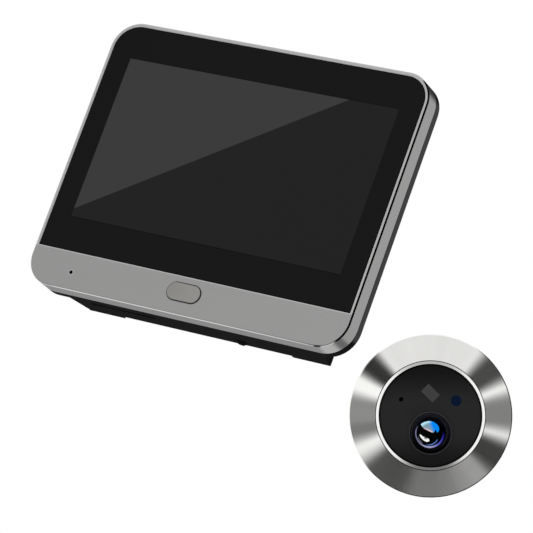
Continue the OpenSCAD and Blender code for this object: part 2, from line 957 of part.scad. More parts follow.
module rear_cover() {
    color(cover_colour)
    difference() {
        union() {
            cover_shell();
            for (p = case_points)
                bar(p[0], p[1], case_boss_r, frame_back_y, (skirt_in_y + case_floor_y) / 2);
            for (p = board_points)
                bar(p[0], p[1], standoff_r, board_back_y, cover_in_y + sunk);
        }
        for (p = case_points) {
            bar(p[0], p[1], case_screw_r + seat_gap, frame_back_y - cut, skirt_back_y + cut);
            bar(p[0], p[1], case_head_r + loose, case_floor_y, skirt_back_y + cut);
        }
        for (p = board_points)
            bar(p[0], p[1], board_screw_r + running, board_back_y - cut, cover_in_y);
        for (sx = [-1, 1], top = hook_tops)
            hook_slot(sx * hook_side, top);
        block(
            [-socket_w / 2 - slot_play, cover_in_y - cut, -socket_h / 2 - slot_play],
            [socket_w / 2 + slot_play, hump_back_y + cut, socket_h / 2 + slot_play]
        );
        translate([0, usb_y, roof_z - cut])
            linear_extrude(cover_wall + 2 * cut)
                oval(usb_w + 2 * loose, usb_t + 2 * loose);
        translate([slot_x, slot_y, hump_bottom - cut])
            linear_extrude(cover_wall + 2 * cut)
                oval(slot_l, slot_w);
        translate([power_x, power_y, hump_bottom - cut])
            cylinder(r = power_d / 2 + running, h = cover_wall + 2 * cut);
        translate([power_x, power_y, hump_bottom - cut])
            cylinder(r = scoop_r, h = scoop_d + cut);
    }
}

module case_screws() {
    color(steel_colour)
    for (p = case_points)
        back_screw(p[0], p[1], case_screw_r, case_tip_y, case_floor_y, case_head_r, case_head_t);
}

module rear_pads() {
    color(rubber_colour)
    for (x0 = [-hump_half, hump_half - pad_w])
        block([x0, hump_back_y, hump_bottom], [x0 + pad_w, pad_back_y, hump_top]);
}

module view_button() {
    color([0.59, 0.58, 0.56])
    translate([button_x, 0, button_z]) {
        slab(front_y - button_proud, button_back_y)
            oval(button_w, button_h);
        slab(button_back_y, flange_back_y)
            oval(button_w + 2 * flange_rim, button_h + 2 * flange_rim);
    }
}

module power_button() {
    tab_z = floor_z + seat_gap;
    color(black_colour)
    union() {
        translate([power_x, power_y, hump_bottom - power_proud])
            cylinder(r = power_d / 2, h = tab_z - hump_bottom + power_proud);
        block(
            [power_x - power_tab_half, power_stem_y - power_stem_r - 0.4, tab_z],
            [power_x + power_tab_half, cover_in_y - seat_gap, tab_z + power_tab_t]
        );
        translate([power_x, power_stem_y, tab_z])
            cylinder(r = power_stem_r, h = power_switch_bottom - power_travel - seat_gap - tab_z);
    }
}

module bracket_hook(x, top) {
    front = -bracket_t - hook_reach;
    block([x - hook_w / 2, front, top - hook_t], [x + hook_w / 2, -bracket_t + sunk, top]);
    block([x - hook_w / 2, front, top - hook_t], [x + hook_w / 2, front + hook_t, top + hook_lip]);
}

module door_bracket() {
    hole_x = bracket_w / 2 - screw_edge;
    hole_z = bracket_h / 2 - screw_edge;
    color(steel_colour)
    union() {
        difference() {
            slab(-bracket_t, 0)
                rounded_rect(bracket_w, bracket_h, bracket_r);
            bar(0, 0, bracket_hole_d / 2, -bracket_t - cut, cut);
            for (sx = [-1, 1], sz = [-1, 1])
                bar(sx * hole_x, sz * hole_z, screw_hole_d / 2, -bracket_t - cut, cut);
            for (sx = [-1, 1], top = hook_tops)
                block(
                    [sx * hook_side - hook_w / 2 - slot_play, -bracket_t - cut, top],
                    [sx * hook_side + hook_w / 2 + slot_play, cut, top + hook_window]
                );
        }
        for (sx = [-1, 1], top = hook_tops)
            bracket_hook(sx * hook_side, top);
    }
}

// Everything of the camera head is drawn about its own axis, with the face at y = 0
module at_head() {
    translate([head_x, head_y, head_z])
        rotate([head_pitch, head_roll, head_yaw])
            children();
}

// The place of one screw of the back plate
function head_screw_at(i) = 90 + i * 360 / head_screw_count;

module bezel_ring() {
    edge = 0.3;
    color([0.75, 0.75, 0.74])
    at_head()
    difference() {
        turned()
            polygon([
                [bezel_in_r, 0], [bezel_r - edge, cone_h - edge], [bezel_r, cone_h], [bezel_r, back_y],
                [hollow_r, back_y], [hollow_r, shelf_y + shelf_t], [shelf_in_r, shelf_y + shelf_t],
                [shelf_in_r, shelf_y], [bezel_in_r, shelf_y]
            ]);
        for (i = [0:head_screw_count - 1])
            rotate([0, head_screw_at(i), 0])
                bar(
                    head_screw_ring, 0, head_screw_r + running,
                    plate_back_y - head_screw_l - sunk, back_y + cut
                );
    }
}

module trim_ring() {
    edge = 0.25;
    color([0.9, 0.9, 0.9])
    at_head()
    turned()
        polygon([
            [trim_in_r, edge - trim_proud], [trim_in_r + edge, -trim_proud], [trim_out_r - edge, -trim_proud],
            [trim_out_r, edge - trim_proud], [trim_out_r, shelf_y], [trim_in_r, shelf_y]
        ]);
}

// The slanted outline of the grey window
module ir_outline(w, h) {
    translate([ir_x, ir_z])
        rotate(-ir_turn)
            square([w, h], center = true);
}

module face_panel() {
    color(black_colour)
    at_head()
    difference() {
        bar(0, 0, face_r, face_front, face_back);
        bar(0, lens_z, lens_ring_r + running, face_front - cut, face_back + cut);
        bar(head_mic_x, head_mic_z, head_mic_d / 2, face_front - cut, face_back + cut);
        bar(light_x, light_z, light_d / 2 + running, face_front - cut, face_back + cut);
        slab(face_front - cut, face_back + cut)
            ir_outline(ir_w + 2 * running, ir_h + 2 * running);
    }
}

module face_seal() {
    color(rubber_colour)
    at_head()
    turned()
        polygon([
            [seal_in_r, face_back], [face_r - running, face_back],
            [face_r - running, shelf_y], [seal_in_r, shelf_y]
        ]);
}

module lens_ring() {
    bevel_r = lens_ring_r - 0.45;
    flange_r = lens_ring_r + 0.6;
    color(black_colour)
    at_head()
    translate([0, 0, lens_z])
        turned()
            polygon([
                [lens_bore_r, lens_ring_proud], [bevel_r, -lens_ring_proud],
                [lens_ring_r, 0.2 - lens_ring_proud],
                [lens_ring_r, face_back + running], [flange_r, face_back + running],
                [flange_r, lens_ring_back], [lens_bore_r, lens_ring_back]
            ]);
}

module lens_front() {
    color([0.1, 0.12, 0.3])
    at_head()
    translate([0, 0, lens_z])
        intersection() {
            translate([0, lens_front_tip + lens_curve_r, 0])
                sphere(lens_curve_r);
            bar(0, 0, lens_r, lens_front_tip - cut, lens_front_back);
        }
}

module lens_barrel() {
    color(black_colour)
    at_head()
    difference() {
        bar(0, lens_z, lens_r, lens_front_back, lens_barrel_back);
        bar(0, lens_z, lens_r - lens_barrel_wall, lens_front_back - cut, lens_barrel_back + cut);
    }
}

module lens_inner() {
    color([0.3, 0.3, 0.5])
    at_head()
    bar(0, lens_z, lens_r - lens_barrel_wall - running, lens_inner_front, lens_inner_front + lens_inner_t);
}

module lens_holder() {
    base_y = camera_board_front - holder_base_t;
    color(black_colour)
    at_head()
    difference() {
        union() {
            bar(0, lens_z, holder_r, lens_ring_back + running, base_y + sunk);
            block(
                [-holder_base / 2, base_y, lens_z - holder_base / 2],
                [holder_base / 2, camera_board_front, lens_z + holder_base / 2]
            );
        }
        bar(0, lens_z, lens_bore_r, face_back, base_y - sunk);
        block(
            [-sensor_window_side / 2, base_y - 3 * sunk, lens_z - sensor_window_side / 2],
            [sensor_window_side / 2, camera_board_front + cut, lens_z + sensor_window_side / 2]
        );
    }
}

module image_sensor() {
    color([0.2, 0.25, 0.3])
    at_head()
    block(
        [-sensor_side / 2, camera_board_front - sensor_t, lens_z - sensor_side / 2],
        [sensor_side / 2, camera_board_front, lens_z + sensor_side / 2]
    );
}

module camera_board() {
    color(board_colour)
    at_head()
    bar(0, 0, camera_board_r, camera_board_front, camera_board_back);
}

module ir_window() {
    color([0.25, 0.25, 0.25])
    at_head() {
        slab(face_front, face_back)
            ir_outline(ir_w, ir_h);
        slab(face_back, guide_back)
            ir_outline(ir_w - 2 * ir_guide, ir_h - 2 * ir_guide);
    }
}

module ir_led() {
    color([0.85, 0.83, 0.7])
    at_head()
    slab(guide_back, camera_board_front)
        ir_outline(ir_w - 2 * ir_guide, ir_h - 2 * ir_guide);
}

module light_window() {
    color([0.08, 0.1, 0.3])
    at_head() {
        bar(light_x, light_z, light_d / 2, face_front, face_back);
        bar(light_x, light_z, light_guide_r, face_back, guide_back);
    }
}

module light_sensor() {
    color([0.15, 0.15, 0.15])
    at_head()
    translate([light_x, (guide_back + camera_board_front) / 2, light_z])
        cube([sensor_chip, led_t, sensor_chip], center = true);
}

module head_microphone() {
    color(steel_colour)
    at_head()
    bar(head_mic_x, head_mic_z, head_mic_r, face_back + running, face_back + head_mic_t);
}

// The back plate seats the barrel in its hole and locates in the bezel by a raised ring
module back_plate() {
    color(cover_colour)
    at_head()
    difference() {
        turned()
            polygon([
                [barrel_foot_r + running, back_y], [spigot_in_r, back_y], [spigot_in_r, camera_board_back],
                [spigot_r, camera_board_back], [spigot_r, back_y], [plate_r, back_y],
                [plate_r, plate_back_y], [barrel_foot_r + running, plate_back_y]
            ]);
        for (i = [0:head_screw_count - 1])
            rotate([0, head_screw_at(i), 0]) {
                bar(head_screw_ring, 0, head_screw_r + seat_gap, back_y - cut, plate_back_y + cut);
                bar(head_screw_ring, 0, head_screw_head_r + seat_gap, plate_back_y - head_screw_head_t,
                    plate_back_y + cut);
            }
    }
}

// Outline of the barrel, turned about the head's axis
module barrel_outline() {
    crest = thread_pitch / 8;
    flank = 3 * thread_pitch / 8;
    thread = [for (i = [0:thread_turns - 1], step = [0:3])
        let (y = shoulder_back + i * thread_pitch)
        [
            step == 1 || step == 2 ? thread_r : thread_root_r,
            y + [0, flank, flank + crest, 2 * flank + crest][step]
        ]];
    polygon(concat(
        [
            [bore_r, back_y], [barrel_foot_r, back_y], [barrel_foot_r, plate_back_y],
            [shoulder_r, plate_back_y], [shoulder_r, shoulder_back]
        ],
        thread,
        [
            [thread_root_r, thread_back], [pilot_r, thread_back], [pilot_r, barrel_back - pilot_chamfer],
            [pilot_r - pilot_chamfer, barrel_back], [port_r, barrel_back], [port_r, port_floor],
            [bore_r, port_floor]
        ]
    ));
}

module door_barrel() {
    color(cover_colour)
    at_head()
    turned()
        barrel_outline();
}

module head_screws() {
    color(steel_colour)
    at_head()
    for (i = [0:head_screw_count - 1])
        rotate([0, head_screw_at(i), 0])
            back_screw(head_screw_ring, 0, head_screw_r, plate_back_y - head_screw_l,
                plate_back_y - head_screw_head_t, head_screw_head_r, head_screw_head_t - running);
}

module door_gasket() {
    color(rubber_colour)
    at_head()
    difference() {
        bar(0, 0, plate_r, plate_back_y, gasket_back_y);
        bar(0, 0, gasket_in_r, plate_back_y - cut, gasket_back_y + cut);
    }
}

module cable_socket() {
    color([0.88, 0.86, 0.8])
    at_head()
    difference() {
        bar(0, 0, bore_r - running, port_floor - socket_l, port_floor);
        block([-plug_w / 2, port_floor - plug_d, -plug_h / 2], [plug_w / 2, port_floor + cut, plug_h / 2]);
    }
}

module camera_lead() {
    color([0.15, 0.15, 0.15])
    at_head()
    block(
        [-lead_w / 2, camera_board_back + seat_gap, -lead_t / 2],
        [lead_w / 2, port_floor - socket_l - seat_gap, lead_t / 2]
    );
}

module clamp_washer() {
    color(steel_colour)
    at_head()
    difference() {
        bar(0, 0, washer_r, washer_front, washer_front + washer_t);
        bar(0, 0, thread_r + loose, washer_front - cut, washer_front + washer_t + cut);
    }
}

module lock_nut() {
    color(steel_colour)
    at_head()
    difference() {
        translate([0, nut_front, 0])
            rotate([-90, 0, 0])
                cylinder(r = nut_r, h = nut_t, $fn = 6);
        bar(0, 0, thread_r + seat_gap, nut_front - cut, nut_front + nut_t + cut);
    }
}

front_frame();
cover_glass();
glass_tape();
display_gasket();
display_panel();
display_backlight();
display_ribbon();
ribbon_connector();
battery_pad();
battery_pack();
main_board();
board_chips();
shield_can();
board_screws();
camera_socket();
socket_pins();
usb_port();
wifi_antenna();
speaker();
speaker_gasket();
key_board();
key_board_screws();
key_switch();
key_plunger();
microphone();
mic_boot();
power_switch();
rear_cover();
case_screws();
rear_pads();
view_button();
power_button();
door_bracket();
bezel_ring();
trim_ring();
face_panel();
face_seal();
lens_ring();
lens_front();
lens_barrel();
lens_inner();
lens_holder();
image_sensor();
camera_board();
ir_window();
ir_led();
light_window();
light_sensor();
head_microphone();
back_plate();
door_barrel();
head_screws();
door_gasket();
cable_socket();
camera_lead();
clamp_washer();
lock_nut();
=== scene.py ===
import json
import math

import bpy
from bpy.props import FloatProperty, FloatVectorProperty, IntProperty, PointerProperty
from mathutils import Euler, Matrix, Vector

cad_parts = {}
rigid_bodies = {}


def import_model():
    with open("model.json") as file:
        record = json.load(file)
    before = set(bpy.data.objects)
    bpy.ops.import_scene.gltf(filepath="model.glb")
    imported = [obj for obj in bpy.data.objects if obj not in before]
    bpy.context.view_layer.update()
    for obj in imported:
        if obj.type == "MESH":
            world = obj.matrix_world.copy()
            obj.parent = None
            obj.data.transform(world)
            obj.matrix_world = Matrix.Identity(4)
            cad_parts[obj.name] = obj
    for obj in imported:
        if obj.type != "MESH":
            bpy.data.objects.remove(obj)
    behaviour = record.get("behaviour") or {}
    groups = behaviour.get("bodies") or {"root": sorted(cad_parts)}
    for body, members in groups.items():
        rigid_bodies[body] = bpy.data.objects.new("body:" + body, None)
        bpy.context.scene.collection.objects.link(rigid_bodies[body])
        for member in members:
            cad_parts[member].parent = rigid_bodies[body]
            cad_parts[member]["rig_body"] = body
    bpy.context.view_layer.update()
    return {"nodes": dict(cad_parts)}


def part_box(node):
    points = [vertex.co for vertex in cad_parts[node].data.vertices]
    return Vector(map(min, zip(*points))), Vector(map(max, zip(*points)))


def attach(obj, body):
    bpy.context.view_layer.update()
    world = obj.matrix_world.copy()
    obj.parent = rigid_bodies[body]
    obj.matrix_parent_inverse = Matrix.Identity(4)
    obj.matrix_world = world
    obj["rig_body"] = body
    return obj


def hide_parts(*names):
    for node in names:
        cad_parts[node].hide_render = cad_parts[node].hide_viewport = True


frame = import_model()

bl_info = {
    "name": "Peephole Door Camera",
    "version": (1, 0, 0),
    "blender": (4, 5, 0),
    "location": "View3D > Sidebar > Door Camera",
    "description": "Dresses the packed door monitor and camera head, and sets their studio",
    "category": "Object",
}

MM = 0.001

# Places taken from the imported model
FRAME_LOW, FRAME_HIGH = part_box("front_frame")
GLASS_LOW, GLASS_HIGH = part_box("cover_glass")
BUTTON_LOW, BUTTON_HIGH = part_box("view_button")
MIC = sum(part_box("microphone"), Vector()) / 2

# The camera head's own frame: X to its right, Y along its axis into the door, Z up
HEAD_PLACE = Vector((81.6, -4.8, -52.4)) * MM
HEAD_TURN = Euler([math.radians(a) for a in (12.9, -18.5, 21.4)])
HEAD = Matrix.Translation(HEAD_PLACE) @ HEAD_TURN.to_matrix().to_4x4()
HEAD_RIGHT, HEAD_INTO, HEAD_UP = (HEAD.to_3x3().col[i].copy() for i in range(3))
LENS_DROP = 5.1 * MM
LENS_LIGHT = "lens_light"

# The glass's rounded corners, and the edge of the lighter sheen painted over its display as a painted
# reflection: how it runs, and how high it starts
CORNER = 7.95 * MM
SHEEN_RUN = Vector((0.8217, 0.54))
SHEEN_START = 2.56 * MM

# Distances within which vertices are merged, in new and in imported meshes, and faces count as level
WELD, PACKED_WELD = 1e-7, 2e-6
LEVEL = 1e-5


def colour(name, text, default):
    return FloatVectorProperty(
        name=name, description=text, subtype="COLOR", size=3, min=0, max=1, default=default
    )


def share(name, text, default):
    return FloatProperty(name=name, description=text, subtype="FACTOR", min=0, max=1, default=default)


def length(name, text, default):
    return FloatProperty(
        name=name, description=text, subtype="DISTANCE", unit="LENGTH", min=0, precision=5, default=default
    )


def angle(name, text, degrees):
    return FloatProperty(
        name=name, description=text, subtype="ANGLE", unit="ROTATION", default=math.radians(degrees)
    )


class CasingFinish(bpy.types.PropertyGroup):
    """Finishes and edges of the monitor's casing."""

    frame_colour: colour("Frame", "Satin silver of the metal front", (0.378, 0.378, 0.375))
    # Painted highlight: how much lighter the lip round the glass is painted than the chin
    lip_highlight: share("Lip", "How much lighter the lip round the glass is", 0.36)
    frame_roughness: share("Frame roughness", "Roughness of the satin metal", 0.42)
    edge_colour: colour("Edge", "Cut edge round the metal front", (0.66, 0.66, 0.655))
    # Painted shade: this tone is darker than the plastic itself; the cover's back lifts it to the plastic's own
    # tone
    cover_colour: colour("Cover", "Black plastic of the rear cover", (0.0085, 0.0085, 0.009))
    # Painted light: the sides of the skirt are painted lighter than the rest of the cover
    skirt_colour: colour("Skirt", "Paler side of the rear cover's skirt", (0.066, 0.066, 0.068))
    rubber_colour: colour("Rubber", "Rubber rails and gaskets", (0.009, 0.009, 0.0095))
    button_colour: colour("Button", "Satin button in the chin", (0.312, 0.305, 0.292))
    button_edge: length("Button edge", "Rounding of the oval button", 0.22 * MM)
    cover_edge: length("Cover edge", "Rounding of the cover's edges", 0.25 * MM)


class GlassFinish(bpy.types.PropertyGroup):
    """The black glass and the display under it."""

    border_colour: colour("Border", "Black print round the display", (0.0086, 0.0086, 0.0086))
    screen_colour: colour("Screen", "Display while it is off", (0.017, 0.017, 0.0171))
    # Painted reflection: a lighter glare over the upper left part of the display
    glare_colour: colour("Sheen", "Lighter corner of the display's reflection", (0.0486, 0.0486, 0.0489))
    gloss: share("Gloss", "Specular level of the glass", 0.03)
    side: length("Side border", "Distance from the glass's side to the picture", 7.33 * MM)
    top: length("Top border", "Distance from the glass's top to the picture", 10.87 * MM)
    bottom: length("Bottom border", "Distance from the glass's bottom to the picture", 10.92 * MM)


class HeadFinish(bpy.types.PropertyGroup):
    """Finishes of the camera head."""

    bezel_colour: colour("Bezel", "Turned metal of the bezel", (0.95, 0.945, 0.925))
    bezel_roughness: share("Bezel roughness", "Roughness of the turned metal", 0.1)
    trim_colour: colour("Trim", "Bright ring inside the bezel", (0.93, 0.925, 0.915))
    face_colour: colour("Face", "Black face of the head", (0.024, 0.024, 0.024))
    ring_colour: colour("Lens ring", "Black ring round the lens", (0.005, 0.005, 0.0062))
    dome_colour: colour("Lens", "Dark middle of the lens", (0.0001, 0.0001, 0.0004))
    # Painted reflection: lavender in the middle of the coloured arc painted on the lens, in the coating's
    # colours
    coat_reflection_colour: colour("Coating", "Lavender edge of the lens coating", (0.62, 0.6, 1.0))
    window_colour: colour("Grey window", "Filter of the infrared window", (0.05, 0.05, 0.05))
    sensor_colour: colour("Blue window", "Filter of the light sensor", (0.001, 0.0075, 0.03))
    segments: IntProperty(
        name="Segments", description="Faces round a turned piece", min=48, max=360, default=224
    )


class StudioSettings(bpy.types.PropertyGroup):
    """Light, floor and camera."""

    light: share("Room light", "Soft light from all round", 0.8)
    lens_glow: FloatProperty(
        name="Lens boxes", description="Strength of the soft boxes in the lens", min=0, default=560
    )
    key: FloatProperty(name="Key lamp", description="Power of the soft lamp", unit="POWER", min=0, default=8)
    floor_drop: length("Floor", "Distance of the floor below the bracket's middle", 0.45)
    floor_colour: colour("Floor colour", "Pale floor", (0.82, 0.82, 0.82))
    azimuth: angle("Azimuth", "Turn of the camera round the object", 29.1036)
    elevation: angle("Elevation", "Height of the camera above the horizon", -13.6747)
    roll: angle("Roll", "Tilt of the picture", 19.8465)
    distance: length("Distance", "From the camera to what it looks at", 1.032336)
    focal: FloatProperty(name="Lens", description="Focal length in millimetres", min=1, default=226.21)
    aim: FloatVectorProperty(
        name="Aim", description="Point that the camera looks at", subtype="TRANSLATION", unit="LENGTH",
        size=3, precision=6, default=(0.006204, 0.007737, -0.015381),
    )


def worked(kind, swapped=False):
    """A Math node as an operator between wires and numbers."""
    def work(self, *other):
        values = (*other, self) if swapped else (self, *other)
        return self.paint.node("Math", {"operation": kind}, dict(enumerate(values)))
    return work


class Wire:
    """A shader socket. Sums and products with it add Math nodes."""

    def __init__(self, paint, made, out):
        self.paint, self.made, self.socket = paint, made, made.outputs[out]

    def out(self, name):
        """Another output of the same node."""
        return Wire(self.paint, self.made, name)

    __add__, __radd__ = worked("ADD"), worked("ADD", swapped=True)
    __sub__, __rsub__ = worked("SUBTRACT"), worked("SUBTRACT", swapped=True)
    __mul__, __rmul__ = worked("MULTIPLY"), worked("MULTIPLY", swapped=True)
    __truediv__, __pow__ = worked("DIVIDE"), worked("POWER")
    __abs__, most = worked("ABSOLUTE"), worked("MAXIMUM")


def far(x, z):
    """Distance of a point from the middle."""
    return (x * x + z * z) ** 0.5


class Paint:
    """A node tree: one finish, or the world."""

    def __init__(self, tree):
        self.tree = tree
        tree.nodes.clear()

    def node(self, kind, settings=None, inputs=None, out=0):
        made = self.tree.nodes.new("ShaderNode" + kind)
        for key, value in (settings or {}).items():
            if key == "stops":
                stops = made.color_ramp.elements
                stops.remove(stops[-1])
                for i, (place, tone) in enumerate(value):
                    stop = stops.new(place) if i else stops[0]
                    stop.position, stop.color = place, (*tone, 1)
            else:
                setattr(made, key, value)
        for key, value in (inputs or {}).items():
            socket = made.inputs[key]
            if isinstance(value, Wire):
                self.tree.links.new(value.socket, socket)
            elif socket.type == "RGBA":
                socket.default_value = (*value[:3], 1)
            else:
                socket.default_value = value
        return Wire(self, made, out)

    def at(self, place=(0, 0, 0), turn=(0, 0, 0), stretch=(1, 1, 1)):
        """Object coordinates, seen from a place that may be turned, and stretched along its axes."""
        where = self.node("TexCoord", out="Object")
        local = self.node("Mapping", {"vector_type": "TEXTURE"},
                          {"Vector": where, "Location": place, "Rotation": turn})
        return self.node("Mapping", {}, {"Vector": local, "Scale": stretch})

    def split(self, vector):
        made = self.node("SeparateXYZ", {}, {0: vector})
        return made, made.out("Y"), made.out("Z")

    def dot(self, a, b):
        return self.node("VectorMath", {"operation": "DOT_PRODUCT"}, {0: a, 1: b}, "Value")

    def step(self, value, low, high):
        return self.node("MapRange", {"interpolation_type": "SMOOTHSTEP"},
                         {"Value": value, "From Min": low, "From Max": high})

    def between(self, value, low, full, high, end):
        """1 from full to high, with soft ends."""
        return self.step(value, low, full) * (1 - self.step(value, high, end))

    def line(self, value, middle, full, end):
        """1 near a middle, with soft ends."""
        return 1 - self.step(abs(value - middle), full, end)

    def on_head(self, drop=0.0):
        """X and Z on the head's face, from a point below its middle."""
        x, _, z = self.split(self.at(HEAD_PLACE, HEAD_TURN))
        return x, z + drop

    def rings(self, radius, scale, detail=2.0):
        """Fine marks of turning."""
        return self.node("TexNoise", {"noise_dimensions": "1D"},
                         {"W": radius, "Scale": scale, "Detail": detail})

    def noise(self, vector, grain, detail=2.0):
        return self.node("TexNoise", {}, {"Vector": vector, "Scale": 1 / grain, "Detail": detail})

    def mix(self, factor, a, b):
        return self.node("Mix", {"data_type": "RGBA"}, {0: factor, 6: a, 7: b}, 2)

    def scale(self, tone, factor):
        return self.node("VectorMath", {"operation": "SCALE"}, {0: tone, "Scale": factor})

    def bump(self, height, depth, strength=1.0):
        return self.node("Bump", {}, {"Height": height, "Distance": depth, "Strength": strength})

    def end(self, kind, shader):
        """Wire the last shader to the tree's output."""
        output = self.tree.nodes.new("ShaderNodeOutput" + kind)
        self.tree.links.new(shader.socket, output.inputs["Surface"])


class Finish(Paint):
    """A material that ends in one shader."""

    def __init__(self, name):
        self.material = bpy.data.materials.new(name)
        self.material.use_nodes = True
        super().__init__(self.material.node_tree)

    def done(self, **sockets):
        """End in a Principled shader."""
        names = {key.replace("_", " ").title().replace("Ior", "IOR"): value for key, value in sockets.items()}
        self.end("Material", self.node("BsdfPrincipled", {}, names))
        return self.material

    def grained(self, tone, noise, shade, rough, relief=None, **sockets):
        """One noise varies the shade and the roughness, each as its least value and its span, and the relief."""
        if relief:
            sockets["normal"] = self.bump(noise, *relief)
        return self.done(base_color=self.scale(tone, shade[0] + shade[1] * noise),
                         roughness=rough[0] + rough[1] * noise, **sockets)

    def glow(self, tone, strength):
        """End in light alone."""
        self.end("Material", self.node("Emission", {}, {"Color": tone, "Strength": strength}))
        return self.material


FINISHES = {}


def finish(make):
    """A finish is made once, under its function's name, when it is first asked for."""
    def get(*settings):
        name = make.__name__
        if name not in FINISHES:
            FINISHES[name] = make(Finish(name), *settings)
        return FINISHES[name]
    return get


@finish
def frame_metal(p, casing):
    x, y, z = p.split(p.at())
    brushed = p.noise(p.at(stretch=(0.06, 1, 1)), 0.12 * MM, 3)
    cloud = p.noise(p.at(), 14 * MM)
    side = p.step(y, FRAME_LOW.y + 0.3 * MM, FRAME_LOW.y + 0.5 * MM)
    # Painted highlight: the lip round the glass, above the chin, is painted lighter
    lip = p.step(z, GLASS_LOW.z - 0.2 * MM, GLASS_LOW.z + 0.1 * MM) * (1 - side)
    # Painted highlight: a thin lighter line along the chin's top edge, just under the glass
    chin_highlight = p.step(z, GLASS_LOW.z - 0.45 * MM, GLASS_LOW.z - 0.3 * MM) * (1 - lip) * (1 - side)
    # Painted highlight: a lighter ring round the microphone's hole
    rim = 1 - p.step(far(x - MIC.x, z - MIC.z), 0.75 * MM, 0.95 * MM)
    tone = (0.93 + 0.1 * brushed + 0.04 * cloud) * (1 + casing.lip_highlight * lip + 0.5 * chin_highlight + 0.35 * rim)
    return p.done(
        base_color=p.scale(casing.frame_colour, tone), metallic=0.8 + 0.2 * side,
        roughness=(casing.frame_roughness - 0.05 + 0.1 * brushed) * (1 - 0.5 * side),
        normal=p.bump(brushed * (1 - side), 0.002 * MM, 0.3),
    )


@finish
def cut_edge(p, casing):
    lines = p.noise(p.at(stretch=(0.1, 1, 0.1)), 0.05 * MM, 2)
    x, y, z = p.split(p.at())
    # Painted reflection and shade on the cut edge: the upper edges are darker than the bottom one, and the front
    # part of the bottom edge is darker
    high = p.step(z, FRAME_LOW.z + 5 * MM, FRAME_LOW.z + 7 * MM)
    # Painted shade: the cut edge along the right side is painted almost black
    inward = x - FRAME_HIGH.x + (2.6 + 1.2 * high) * MM
    fold = p.step(y, FRAME_LOW.y + 0.18 * MM, FRAME_LOW.y + 0.26 * MM)
    # Painted shade: the bottom edge is dimmer toward the lower right corner
    low_right = (1 - high) * p.step(x, FRAME_HIGH.x - 14 * MM, FRAME_HIGH.x - 6 * MM)
    # Painted highlight: toward the lower left corner the edge turns from metal to a pale non-metal, so that it
    # reads light
    low_left = (1 - high) * (1 - p.step(x, FRAME_LOW.x + 9 * MM, FRAME_LOW.x + 13 * MM))
    shade = (1 - 0.985 * p.step(inward, -0.9 * MM, 0.4 * MM)) * p.step(high + fold, -0.7, 1.0)
    shade = shade * (1 - 0.35 * high) * (1 - 0.25 * low_right)
    return p.done(
        base_color=p.scale(casing.edge_colour, (0.96 + 0.08 * lines) * shade), metallic=1 - low_left,
        roughness=0.06 + 0.06 * lines, specular_ior_level=0.02,
    )


@finish
def black_glass(p, glass):
    x, _, z = p.split(p.at())
    soft = 0.08 * MM
    left, right = GLASS_LOW.x + glass.side, GLASS_HIGH.x - glass.side
    low, high = GLASS_LOW.z + glass.bottom, GLASS_HIGH.z - glass.top
    picture = p.between(x, left - soft, left + soft, right - soft, right + soft)
    picture = picture * p.between(z, low - soft, low + soft, high - soft, high + soft)
    across = Vector((-SHEEN_RUN.y, SHEEN_RUN.x)).normalized()
    beyond = across.x * (x - left) + across.y * (z - (low + SHEEN_START))
    straight = (GLASS_HIGH.x - GLASS_LOW.x) / 2 - CORNER
    over_side, over_top = abs(x) - straight, z - (GLASS_HIGH.z - CORNER)
    inside = (far(over_side.most(0.0), over_top.most(0.0)) - CORNER).most(GLASS_LOW.z - z)
    # Painted shadow: a dark line inside the glass's outline, next to the metal lip
    edge = p.step(inside, -0.3 * MM, -0.18 * MM)
    from_ends = abs(z - (low + high) / 2) - (high - low) / 2
    frame_line = p.between(x, left, left + soft, right - soft, right)
    frame_line = frame_line * p.line(from_ends, 0.12 * MM, 0.06 * MM, 0.16 * MM)
    dust = p.noise(p.at(), 0.3 * MM, 2)
    # Painted reflection: beyond a slanting line the display takes the lighter glare colour
    screen = p.mix(p.step(beyond, -soft, soft), glass.screen_colour, glass.glare_colour)
    shade = (1 - 0.8 * edge) * (1 - 0.5 * frame_line)
    return p.done(
        base_color=p.scale(p.mix(picture, glass.border_colour, screen), shade),
        roughness=0.05 + 0.03 * dust, specular_ior_level=glass.gloss,
    )


# Painted shade: the cover's colour as it stands, darker than the plastic's own tone, on all but the cover's back
@finish
def cover_plastic(p, casing):
    x, y, _ = p.split(p.at())
    grain = p.noise(p.at(), 0.35 * MM, 3)
    worn = p.noise(p.at(), 9 * MM, 3)
    # Painted light: the cover's sides, the skirt, take the lighter skirt colour
    side = p.step(abs(x), FRAME_HIGH.x - 0.9 * MM, FRAME_HIGH.x - 0.4 * MM)
    # Painted shade: the cover is darker just behind the metal front, where the two meet
    joint_shade = 0.3 + 0.7 * p.step(y, FRAME_HIGH.y + 0.15 * MM, FRAME_HIGH.y + 0.5 * MM)
    tone = p.mix(side, p.scale(casing.cover_colour, 0.85 + 0.3 * worn), casing.skirt_colour)
    return p.done(
        base_color=p.scale(tone, joint_shade), roughness=0.55 + 0.15 * grain, specular_ior_level=0.008,
        normal=p.bump(grain, 0.02 * MM, 0.5),
    )


@finish
def cover_back(p, casing):
    grain = p.noise(p.at(), 0.3 * MM, 4)
    worn = p.noise(p.at(), 12 * MM, 3)
    return p.done(
        base_color=p.scale(casing.cover_colour, 2.1 + 0.5 * grain + 0.3 * worn), roughness=0.42 + 0.2 * grain,
        specular_ior_level=0.12, normal=p.bump(grain, 0.03 * MM, 0.5),
    )


@finish
def rubber_black(p, casing):
    grain = p.noise(p.at(), 0.5 * MM, 4)
    return p.grained(casing.rubber_colour, grain, (0.7, 0.6), (0.75, 0.2), (0.03 * MM, 0.4),
                     specular_ior_level=0.01)


